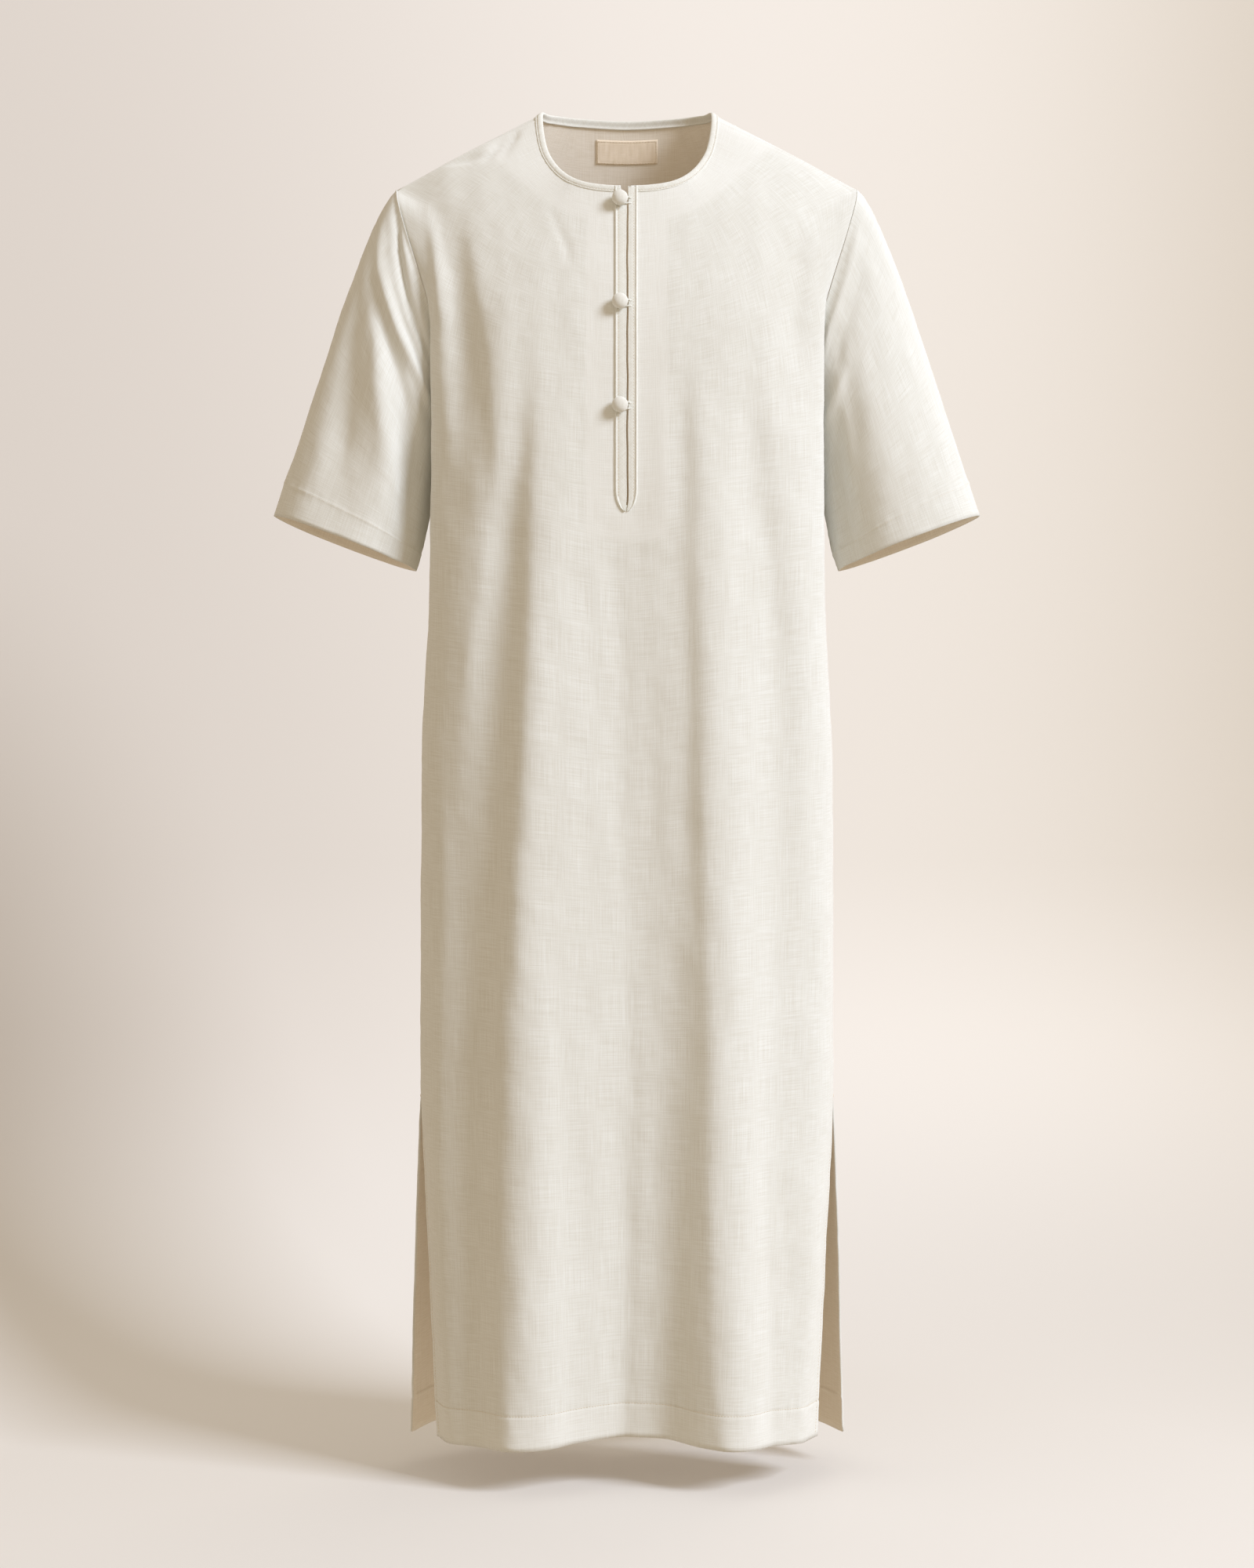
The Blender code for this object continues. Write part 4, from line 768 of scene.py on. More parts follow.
@dataclass
class SleeveForm:
    """Form of a sleeve as it hangs from its armhole.

    tau runs round it, 0 at the shoulder tip, 1 at the underarm, 2 at the tip again; t runs down it.
    """

    side: Side
    front: PanelForm
    back: PanelForm
    cuff_centre: Place = (0.2948, 0.000, -0.4470)
    cuff_half: tuple[float, float] = (0.0794, 0.068)
    cuff_out: Place = (0.9345, 0.0, 0.3558)
    metres_down: float = 0.30

    def armhole(self, tau: Array) -> Array:
        """The armhole on the wearer's left: down the front's side, then up the back's.

        Args:
            tau: round the sleeve.

        Returns:
            Places.
        """
        down = np.clip(TIP_V - (TIP_V - UNDERARM_V) * tau, UNDERARM_V + 1e-9, TIP_V)
        up = np.clip(UNDERARM_V + (TIP_V - UNDERARM_V) * (tau - 1.0), UNDERARM_V + 1e-9, TIP_V)
        return np.where((tau <= 1.0)[..., None], self.front.side_line(down), self.back.side_line(up))

    def cuff(self, tau: Array) -> Array:
        """The cuff's edge: an oval on its slope, the front a little higher than the back.

        Args:
            tau: round the sleeve.

        Returns:
            Places.
        """
        across = np.cos(np.pi * tau)[..., None] * self.cuff_half[0] * np.array(self.cuff_out)
        ahead = np.sin(np.pi * tau)[..., None] * self.cuff_half[1] * np.array([0.0, -1.0, 0.03])
        return np.array(self.cuff_centre) + across + ahead

    def form(self, tau: Array, t: Array) -> Array:
        """Fold-free left sleeve: for each tau a cubic from the armhole to the cuff.

        It leaves the armhole out, down and a little forward or back, and arrives along the arm.

        Args:
            tau, t: round the sleeve and down it.

        Returns:
            Places.
        """
        tau, t = np.broadcast_arrays(np.asarray(tau, float), np.asarray(t, float))
        start, end = self.armhole(tau), self.cuff(tau)
        reach = np.linalg.norm(end - start, axis=-1, keepdims=True)
        down = 0.5 - 0.5 * np.cos(np.pi * tau)
        lower = down[..., None]
        cap = np.stack([0.80 - 0.10 * down, -0.30 * np.sin(np.pi * tau), -0.62 - 0.12 * down], -1)
        leave = unit(cap) * (0.33 * reach * (1.0 - lower) + 0.65 * reach * lower)
        arrive = np.array([0.330, 0.0, -0.944]) * reach * 1.05
        return hermite(start, end, leave, arrive, t[..., None])

    def relief(self, tau: Array, t: Array, gap: Array) -> Array:
        """Height above the fold-free sleeve.

        Folds and creases that run down it and pulls that run round it, all held along the inner
        side; a slow unevenness; the armhole seam, pressed flatter on the left, with its puckers;
        and the sunk row of cuff stitches with theirs.

        Args:
            tau, t: round the sleeve and down it.
            gap: distance from the armhole.

        Returns:
            Height in metres.
        """
        right = self.side is Side.RIGHT
        folds = sum(f.height(t, tau) for f in SLEEVE_FOLDS[self.side])
        fine = sum(f.height(t, tau) for f in SLEEVE_CREASES[self.side])
        fine = fine + sum(f.height(tau, t) for f in SLEEVE_PULLS[self.side])
        free = smooth(0.10, 0.24, np.abs(tau - 1.0))
        h = (folds * smooth(0.0, 0.15, t) + fine * smooth(0.0, 0.05, t)) * free
        slow = 0.0006 * uneven(tau * 0.24, t * 0.16, 0.045, 11 if right else 12)
        quick = 0.0002 * uneven(tau * 0.24, t * 0.3, 0.016, 13 if right else 14)
        h = h + (slow + quick) * smooth(0.0, 0.08, t)
        seam = 0.0006 * bell(gap - 0.0042, 0.0026) - 0.0008 * bell(gap, 0.0018)
        wave = np.sin(tau * 2 * np.pi / 0.045 + 2.0 * uneven(tau, t, 0.5, 7))
        h = h + seam * (1.0 if right else 0.25) + 0.0003 * wave * bell(gap - 0.007, 0.006)
        from_row = (t - CUFF_T) * self.metres_down
        wave = np.sin(tau * 2 * np.pi / 0.055 + 3.0 * uneven(tau, t, 0.4, 2))
        return h - 0.00045 * bell(from_row, 0.0013) + 0.0003 * wave * bell(from_row, 0.010)

    def point(self, tau: Array, t: Array) -> Array:
        """Place on the cloth's outside: the fold-free sleeve moved along its normal by the relief.

        The right sleeve is the left one mirrored, with folds of its own.

        Args:
            tau, t: round the sleeve and down it.

        Returns:
            Places.
        """
        tau, t = np.broadcast_arrays(np.asarray(tau, float), np.asarray(t, float))
        e = 0.004
        p = self.form(tau, t)
        round_it = self.form(tau + e, t) - self.form(tau - e, t)
        down = self.form(tau, np.minimum(t + e, 1.0)) - self.form(tau, np.maximum(t - e, 0.0))
        n = unit(np.cross(down, round_it))
        gap = np.linalg.norm(p - self.form(tau, np.zeros_like(t)), axis=-1)
        return (p + n * self.relief(tau, t, gap)[..., None]) * np.array([self.side.value, 1.0, 1.0])


# ---- finishes --------------------------------------------------------------------------------
def from_hex(code: str) -> tuple[float, float, float, float]:
    """Linear colour of an sRGB hex code: c / 12.92 below 0.04045, else ((c + 0.055) / 1.055)^2.4.

    Args:
        code: a sign and six digits.

    Returns:
        Red, green, blue and 1.
    """
    s = np.array([int(code[i:i + 2], 16) / 255.0 for i in (1, 3, 5)])
    linear = np.where(s <= 0.04045, s / 12.92, ((s + 0.055) / 1.055) ** 2.4)
    return (*(float(x) for x in linear), 1.0)


def add_node(tree: bpy.types.NodeTree, kind: str, settings: dict[str, object] | None = None,
             links: dict[str, object] | None = None) -> bpy.types.Node:
    """Add a node, set it and link it.

    Args:
        tree: the node tree.
        kind: the node's bl_idname.
        settings: values by property name, or by socket name or number after "in:".
        links: output sockets that feed it, by the name or number of the input.

    Returns:
        The node.
    """
    node = tree.nodes.new(kind)
    for key, value in (settings or {}).items():
        if key.startswith("in:"):
            name = key[3:]
            node.inputs[int(name) if name.isdigit() else name].default_value = value
        else:
            setattr(node, key, value)
    for key, socket in (links or {}).items():
        tree.links.new(socket, node.inputs[int(key) if key.isdigit() else key])
    return node


@dataclass(frozen=True)
class WovenCloth:
    """Plain-woven cloth: one thread over, one under, with thick places (slubs) in both directions.

    The slubs give the eye its short streaks, down and across, and the warp and weft a fine tooth.
    Real threads lie 0.55 mm apart, too fine to show, so the tooth is drawn 1.1 mm apart. A wrong
    side may be given a painted glowing light: emission that stands in for light from outside coming through
    the weave.
    """

    name: str
    colour: str
    slub_colour: str
    facing_colour: str
    slub_wide_mm: float = 0.85
    slub_long_mm: float = 30.0
    thread_mm: float = 1.1
    turn_deg: float = 0.0
    rough: float = 0.92
    sheen: float = 0.06
    relief_mm: float = 0.16
    # painted light: emission strength that stands in for light coming through the weave
    through: float = 0.0
    painted_through_light_colour: str = "#FFE6C8"

    def slubs(self, tree: bpy.types.NodeTree, place: object, across_mm: float, along_mm: float,
              shift: float) -> object:
        """Streaks of one direction: noise whose cell is one slub wide and one slub long.

        Args:
            tree: the node tree.
            place: socket with the place on the cloth, in metres.
            across_mm, along_mm: size of a slub along the cloth's first and second direction.
            shift: moves the noise, so that two directions differ.

        Returns:
            Socket with the noise.
        """
        scale = (1000.0 / across_mm, 1000.0 / along_mm, 1.0)
        stretched = add_node(tree, "ShaderNodeMapping",
                             {"in:Scale": scale, "in:Location": (shift, shift * 0.7, 0.0)}, {"Vector": place})
        settings = {"noise_dimensions": "2D", "in:Scale": 1.0, "in:Detail": 2.0, "in:Roughness": 0.6}
        return add_node(tree, "ShaderNodeTexNoise", settings, {"Vector": stretched.outputs[0]}).outputs[0]

    def relief(self, tree: bpy.types.NodeTree, place: object, streak: object) -> object:
        """Bump: the slubs, and the tooth of the threads, sin(warp) * sin(weft).

        Args:
            tree: the node tree.
            place: socket with the place on the cloth, in metres.
            streak: socket with the slubs.

        Returns:
            Socket with the bent normal.
        """
        turns = 2 * np.pi * 1000.0 / self.thread_mm
        split = add_node(tree, "ShaderNodeSeparateXYZ", {}, {"0": place})
        waves = []
        for k in (0, 1):
            angle = add_node(tree, "ShaderNodeMath", {"operation": "MULTIPLY", "in:1": turns},
                             {"0": split.outputs[k]}).outputs[0]
            waves.append(add_node(tree, "ShaderNodeMath", {"operation": "SINE"}, {"0": angle}).outputs[0])
        tooth = add_node(tree, "ShaderNodeMath", {"operation": "MULTIPLY"},
                         {"0": waves[0], "1": waves[1]}).outputs[0]
        tooth = add_node(tree, "ShaderNodeMath", {"operation": "MULTIPLY", "in:1": 0.16},
                         {"0": tooth}).outputs[0]
        height = add_node(tree, "ShaderNodeMath", {"operation": "ADD"}, {"0": streak, "1": tooth}).outputs[0]
        return add_node(tree, "ShaderNodeBump", {"in:Strength": 0.75, "in:Distance": self.relief_mm / 1000.0},
                        {"Height": height}).outputs[0]

    def build(self) -> Finish:
        """Material: colour from slubs, slow tone and double layers, relief from slubs and threads, and
        painted glowing emission.

        Returns:
            The material.
        """
        material = bpy.data.materials.new(self.name)
        material.use_nodes = True
        tree = material.node_tree
        shader = tree.nodes["Principled BSDF"]
        # the emission set here is painted light from the through strength, not a lamp
        for name, value in {"Roughness": self.rough, "Diffuse Roughness": 0.6, "IOR": 1.45,
                            "Specular IOR Level": 0.15, "Sheen Weight": self.sheen, "Sheen Roughness": 0.45,
                            "Emission Color": from_hex(self.painted_through_light_colour),
                            "Emission Strength": self.through}.items():
            shader.inputs[name].default_value = value
        plain, slub, facing = from_hex(self.colour), from_hex(self.slub_colour), from_hex(self.facing_colour)
        cloth = add_node(tree, "ShaderNodeUVMap", {"uv_map": "cloth"}).outputs[0]
        place = add_node(tree, "ShaderNodeMapping", {"in:Rotation": (0.0, 0.0, np.radians(self.turn_deg))},
                         {"Vector": cloth}).outputs[0]
        weft = self.slubs(tree, place, self.slub_long_mm, self.slub_wide_mm, 3.0)
        warp = self.slubs(tree, place, self.slub_wide_mm, self.slub_long_mm * 1.5, 11.0)
        streak = add_node(tree, "ShaderNodeMath", {"operation": "ADD"}, {"0": weft, "1": warp}).outputs[0]
        tree.links.new(self.relief(tree, place, streak), shader.inputs["Normal"])
        thick = add_node(tree, "ShaderNodeMapRange", {"in:From Min": 0.70, "in:From Max": 1.50},
                         {"Value": streak}).outputs[0]
        mixed = add_node(tree, "ShaderNodeMix", {"data_type": "RGBA", "in:6": plain, "in:7": slub},
                         {"0": thick}).outputs[2]
        clouds = {"noise_dimensions": "2D", "in:Scale": 9.0, "in:Detail": 3.0}
        tone = add_node(tree, "ShaderNodeTexNoise", clouds, {"Vector": cloth}).outputs[0]
        weak = {"in:From Min": 0.35, "in:From Max": 0.70, "in:To Min": 0.0, "in:To Max": 0.16}
        soft = add_node(tree, "ShaderNodeMapRange", weak, {"Value": tone}).outputs[0]
        mixed = add_node(tree, "ShaderNodeMix", {"data_type": "RGBA", "in:7": slub},
                         {"0": soft, "6": mixed}).outputs[2]
        double = add_node(tree, "ShaderNodeAttribute", {"attribute_name": "double"}).outputs["Fac"]
        mixed = add_node(tree, "ShaderNodeMix", {"data_type": "RGBA", "in:7": facing},
                         {"0": double, "6": mixed}).outputs[2]
        tree.links.new(mixed, shader.inputs["Base Color"])
        return material


@dataclass(frozen=True)
class StudioPaper:
    """Matt studio paper: flat and a little warm, with painted shade on the left wall, painted light on the
    right, and a painted glowing emission, stronger to the right and up the wall, that evens out the far wall.

    Its wrong side lets the eye through, so that the far wall stands behind the robe in every view.
    """

    name: str
    # the left colour is painted shade, the right colour is painted light, and the emission below is a painted
    # glowing light
    painted_shade_left_colour: str
    painted_light_right_colour: str
    floor_colour: str
    painted_glow_colour: str
    painted_glow_strength: float
    painted_glow_rise: float

    def build(self) -> Finish:
        """Material: paint that turns from painted shade on the left to painted light on the right, and to the
        floor's colour low down, with painted glowing emission.

        Returns:
            The material.
        """
        material = bpy.data.materials.new(self.name)
        material.use_nodes = True
        tree = material.node_tree
        shader = tree.nodes["Principled BSDF"]
        shader.inputs["Roughness"].default_value = 0.95
        shader.inputs["Specular IOR Level"].default_value = 0.1
        shader.inputs["Emission Color"].default_value = from_hex(self.painted_glow_colour)
        place = add_node(tree, "ShaderNodeTexCoord").outputs["Object"]
        split = add_node(tree, "ShaderNodeSeparateXYZ", {}, {"0": place})
        # painted shade and light: the wall's paint runs from darker on the left to lighter on the right
        ramp = {"interpolation_type": "SMOOTHSTEP"}
        right = add_node(tree, "ShaderNodeMapRange", ramp | {"in:From Min": -1.0, "in:From Max": 0.7},
                         {"Value": split.outputs[0]}).outputs[0]
        high = add_node(tree, "ShaderNodeMapRange", ramp | {"in:From Min": -1.42, "in:From Max": -1.0},
                        {"Value": split.outputs[2]}).outputs[0]
        sides = {"data_type": "RGBA", "in:6": from_hex(self.painted_shade_left_colour), "in:7": from_hex(self.painted_light_right_colour)}
        wall = add_node(tree, "ShaderNodeMix", sides, {"0": right}).outputs[2]
        paint = add_node(tree, "ShaderNodeMix", {"data_type": "RGBA", "in:6": from_hex(self.floor_colour)},
                         {"0": high, "7": wall}).outputs[2]
        tree.links.new(paint, shader.inputs["Base Color"])
        # painted light: emission that rises towards the right and up the wall
        both = add_node(tree, "ShaderNodeMath", {"operation": "MULTIPLY"}, {"0": right, "1": high}).outputs[0]
        rise = {"in:To Min": self.painted_glow_strength, "in:To Max": self.painted_glow_strength + self.painted_glow_rise}
        painted_glow_strength = add_node(tree, "ShaderNodeMapRange", rise, {"Value": both}).outputs[0]
        tree.links.new(painted_glow_strength, shader.inputs["Emission Strength"])
        clear = add_node(tree, "ShaderNodeBsdfTransparent")
        wrong_side = add_node(tree, "ShaderNodeNewGeometry").outputs["Backfacing"]
        sided = add_node(tree, "ShaderNodeMixShader", {},
                         {"0": wrong_side, "1": shader.outputs[0], "2": clear.outputs[0]})
        tree.links.new(sided.outputs[0], tree.nodes["Material Output"].inputs["Surface"])
        return material


# flax, washed soft: short streaks down and across, and no shine
LINEN = WovenCloth("Washed undyed linen, plain weave with slubs", "#ECEDE9", "#DCDAD1", "#F0F0EC")
# the same cloth cut at 45 degrees, so that its streaks slant over the edge they bind
TRIM = WovenCloth("Undyed linen cut on the bias", "#EEEFEA", "#DFDDD4", "#F0F0EC", slub_long_mm=14.0,
                  turn_deg=45.0, relief_mm=0.11)
# the inner face: painted warmer and given painted glowing emission, for the light on it that has come through
# the cloth
LINEN_INSIDE = WovenCloth("Wrong side of the linen, with light that comes through the weave", "#F0EBE1",
                          "#E0D8C9", "#F2EEE6", through=0.055)
# cotton treated to shine a little, so that each stitch catches the light
THREAD = WovenCloth("Mercerised cotton sewing thread", "#E9DFCC", "#DCCFB8", "#E9DFCC", slub_wide_mm=0.4,
                    slub_long_mm=2.0, rough=0.6, sheen=0.3, relief_mm=0.03)
# a finer cloth, pulled tight, so that the ball looks smooth
BUTTON_CLOTH = WovenCloth("Fine linen stretched over a ball button", "#ECECE6", "#DCDAD2", "#ECECE6",
                          slub_wide_mm=0.6, slub_long_mm=5.0, relief_mm=0.06)
# a close, flat weave, creamier and smoother than the linen
LABEL = WovenCloth("Cotton label weave, blank", "#FBF0DF", "#F0E2CA", "#FBF0DF", slub_wide_mm=0.5,
                   slub_long_mm=9.0, thread_mm=0.9, rough=0.8, relief_mm=0.06)
# plain strong cotton, a little darker than the robe
POCKET = WovenCloth("Pocketing cotton, plain weave", "#E8E0D2", "#DBD1C0", "#E8E0D2", slub_long_mm=16.0)
# paper with painted shade on the left, painted light on the right and painted glowing emission
PAPER = StudioPaper("Matt studio paper, warm white", "#C3BBB2", "#ECE8E3", "#DAD6D1", "#EBEFF1", 0.115, 0.085)


# ---- the pieces --------------------------------------------------------------------------------
@dataclass
class Panel:
    """The front or the back, from the hem to the neck, with its hem and slit edges turned in."""

    form: PanelForm
    columns: int
    row_step: float
    finish: Finish
    inside: Finish
    flat: tuple[float, float]
    flat_area: float

    def across(self) -> Array:
        """Column values: even steps, closer lines near both sides, and the front slit's two edges.

        Returns:
            Columns, from -1 to 1.
        """
        fine = 1.0 - np.array([0.0, 0.0028, 0.0065, 0.011, 0.0165, 0.0225, 0.0285, 0.035, 0.042])
        base = np.linspace(-0.95, 0.95, self.columns)
        if self.form.face is Face.BACK:
            return np.unique(np.concatenate([base, fine, -fine]))
        base = base[(base < SLIT_RIGHT - 0.0035) | (base > SLIT_LEFT + 0.0035)]
        return np.unique(np.concatenate([base, fine, -fine, [SLIT_RIGHT, SLIT_LEFT]]))

    def rows(self) -> Array:
        """Row values: even steps, closer lines at the hem's stitching, the slit's top and the neck.

        Returns:
            Rows, in metres from the hem.
        """
        base = np.arange(0.0, NECK_V, self.row_step)
        marks = np.array([SLIT_TOP_V, SLIT_END_V, UNDERARM_V, TIP_V, POCKET_LOW_V, POCKET_HIGH_V])
        fine = [np.arange(0.0305, 0.0405, 0.00095), marks, np.arange(1.335, NECK_V - 0.0018, 0.0026)]
        special = np.concatenate(fine)
        base = base[np.abs(base[:, None] - special[None, :]).min(1) > 0.0011]
        return np.unique(np.concatenate([base, special]))

    def wall(self, v: Array, outer: Array) -> Array:
        """Thickness of the cloth: double at the hem and along the free edges of the side slits.

        Args:
            v: rows.
            outer: the outside's points.

        Returns:
            Thickness in metres.
        """
        side_gap = np.minimum(np.linalg.norm(outer - outer[:, [0]], axis=-1),
                              np.linalg.norm(outer - outer[:, [-1]], axis=-1))
        hem = 1.0 - smooth(HEM_V, HEM_V + 0.0012, v)
        slit = (1.0 - smooth(0.0075, 0.0088, side_gap)) * (1.0 - smooth(SLIT_TOP_V - 0.002, SLIT_TOP_V, v))
        return CLOTH + (TURNED - CLOTH) * np.maximum(hem, slit)

    def build(self) -> bpy.types.Object:
        """Mesh: outside, inside a wall's thickness behind it, and walls round every edge.

        Returns:
            The object.
        """
        c, v = self.across(), self.rows()
        grid_c, grid_v = np.meshgrid(c, v)
        outer = self.form.point(grid_c, grid_v)
        front = self.form.face is Face.FRONT
        normal = grid_normals(outer, False) * (1.0 if front else -1.0)
        inner = outer - normal * self.wall(grid_v, outer)[..., None]
        keep = np.ones((len(v) - 1, len(c) - 1), bool)
        if front:
            slit = int(np.argmin(np.abs(c - SLIT_RIGHT)))
            keep[v[:-1] > SLIT_END_V - 1e-6, slit] = False
        faces = grid_faces(len(v), len(c), keep=keep)
        faces = faces if front else faces[:, ::-1]
        one_side = len(faces)
        points, faces = closed_shell(outer.reshape(-1, 3), inner.reshape(-1, 3), faces)
        uv = np.stack([grid_c * X_PER_C * 0.93, grid_v], -1).reshape(-1, 2)
        facing = self.facing(grid_v, outer).ravel()
        marks = {"double": np.concatenate([facing, np.zeros(facing.size)])}
        name = self.form.face.value
        piece = make_piece(f"{name}_panel", points, faces, self.finish, (name,), np.vstack([uv, uv]),
                           marks, (self.inside, one_side, 2 * one_side))
        return piece

    def facing(self, v: Array, p: Array) -> Array:
        """Where a second layer behind makes the cloth paler: at the neck, beside the slit and in the hem.

        Args:
            v: rows.
            p: places.

        Returns:
            0 for a single layer, up to 0.4.
        """
        front = self.form.face is Face.FRONT
        ring = smooth(1.300, 1.304, v)
        beside = (1.0 - smooth(0.0405, 0.0425, np.abs(p[..., 0] + 0.001))) * smooth(0.905, 0.909, v) * front
        hem = 1.0 - smooth(HEM_V - 0.0005, HEM_V + 0.0005, v)
        return np.maximum.reduce([ring, beside, hem * 0.5]) * 0.40


@dataclass
class Sleeve:
    """A set-in sleeve with its turned cuff."""

    form: SleeveForm
    finish: Finish
    inside: Finish
    round_steps: int = 124
    down_steps: int = 82

    def build(self) -> bpy.types.Object:
        """Mesh: a tube of cloth, thicker at the turned cuff.

        Returns:
            The object.
        """
        tau = np.linspace(0.0, 2.0, self.round_steps, endpoint=False)
        special = np.array([0.0, 0.004, 0.009, 0.015, 0.022, 0.030, 0.895, 0.9, 0.904, CUFF_T, 0.912, 0.917,
                            1.0])
        base = np.linspace(0.0, 1.0, self.down_steps)
        base = base[np.abs(base[:, None] - special[None, :]).min(1) > 0.0022]
        t = np.unique(np.concatenate([base, special]))
        grid_tau, grid_t = np.meshgrid(tau, t)
        outer = self.form.point(grid_tau, grid_t)
        normal = grid_normals(outer, True)
        if np.sum(normal * (outer - outer.mean(axis=1, keepdims=True))) < 0.0:
            normal = -normal
        faces = grid_faces(len(t), len(tau), wrap=True)
        first = np.cross(outer[1, 1] - outer[1, 0], outer[2, 0] - outer[1, 0])
        faces = faces if np.dot(first, normal[1, 0]) > 0.0 else faces[:, ::-1]
        wall = CLOTH + (TURNED - CLOTH) * smooth(CUFF_T, CUFF_T + 0.005, grid_t)
        inner = outer - normal * wall[..., None]
        one_side = len(faces)
        points, faces = closed_shell(outer.reshape(-1, 3), inner.reshape(-1, 3), faces)
        uv = np.stack([grid_tau * 0.23, -grid_t * 0.34], -1).reshape(-1, 2)
        name = f"sleeve_{self.form.side.name.lower()}"
        piece = make_piece(f"{name}_tube", points, faces, self.finish, (name,), np.vstack([uv, uv]),
                           {"double": np.zeros(2 * grid_t.size)}, (self.inside, one_side, 2 * one_side))
        return piece


@dataclass
class NeckBinding:
    """Bias band that wraps the neck edge: rolled top, stitched foot, corded edge on its inner side."""

    front: PanelForm
    back: PanelForm
    finish: Finish
    # (down from the neck edge, out from the cloth), round the band from its outer foot
    profile: Rows = (
        (0.0078, -0.0002), (0.0079, 0.0005), (0.0074, 0.00085), (0.0067, 0.00085), (0.0061, 0.00015),
        (0.0055, 0.00090), (0.0044, 0.00115), (0.0030, 0.00125), (0.0017, 0.00115), (0.0007, 0.00070),
        (0.0000, -0.0001), (-0.0003, -0.0009), (0.0000, -0.0017), (0.0009, -0.0022), (0.0024, -0.0023),
        (0.0044, -0.0022), (0.0062, -0.0022), (0.0070, -0.0028), (0.0077, -0.0032), (0.0085, -0.0030),
        (0.0089, -0.0023), (0.0086, -0.0017), (0.0083, -0.0012), (0.0080, -0.0009))

    @staticmethod
    def soften(a: Array) -> Array:
        """Rows averaged over 19 neighbours, weighted by a bell.

        Args:
            a: a row of three numbers for each point.

        Returns:
            The same rows, softened.
        """
        weights = bell(np.arange(-9, 10), 5.0) / bell(np.arange(-9, 10), 5.0).sum()
        wide = np.pad(a, ((9, 9), (0, 0)), mode="edge")
        return np.stack([np.convolve(wide[:, k], weights, "valid") for k in range(3)], -1)

    def path(self) -> tuple[Array, Array, Array]:
        """Neck edge from the slit round the back to the slit again.

        Returns:
            Edge points, unit vectors down the cloth, and unit normals.
        """
        right, left = np.linspace(SLIT_RIGHT, -1.0, 90), np.linspace(1.0, SLIT_LEFT, 90)
        behind = np.linspace(-1.0, 1.0, 160)[1:-1]
        edge, down, normal = [], [], []
        for form, c in ((self.front, right), (self.back, behind), (self.front, left)):
            top, low = form.form(c, np.full_like(c, NECK_V)), form.form(c, np.full_like(c, NECK_V - 0.006))
            edge.append(top)
            down.append(unit(low - top))
            normal.append(form.form_normal(c, np.full_like(c, NECK_V - 0.003)))
        down, normal = unit(self.soften(np.vstack(down))), self.soften(np.vstack(normal))
        normal = unit(normal - down * np.sum(normal * down, -1, keepdims=True))
        return np.vstack(edge), down, normal

    def build(self) -> bpy.types.Object:
        """Mesh: the profile carried along the neck edge and closed at both ends.

        Returns:
            The object.
        """
        edge, down, normal = self.path()
        run = run_along(edge)
        across, out = np.asarray(self.profile).T
        wave = 0.00012 * np.sin(run * 2 * np.pi / 0.011 + 2.0 * uneven(run, run, 0.05, 21))
        lift = out[None] + wave[:, None] * (np.abs(across[None] - 0.006) < 0.003)
        grid = edge[:, None] + down[:, None] * across[None, :, None] + normal[:, None] * lift[..., None]
        rows, columns = grid.shape[:2]
        round_it = np.linspace(0.0, 0.024, columns)
        uv = np.stack(np.broadcast_arrays(run[:, None], round_it[None]), -1).reshape(-1, 2)
        points = grid.reshape(-1, 3)
        return make_piece("neck_binding_band", points, outwards(points, rod_faces(rows, columns)),
                          self.finish, ("neck_binding",), uv)

    def stitch_line(self) -> tuple[Array, Array]:
        """Line of stitches near the band's outer foot, and the normals there."""
        edge, down, normal = self.path()
        return (edge + down * 0.0061 + normal * 0.0006)[2:-2], normal[2:-2]


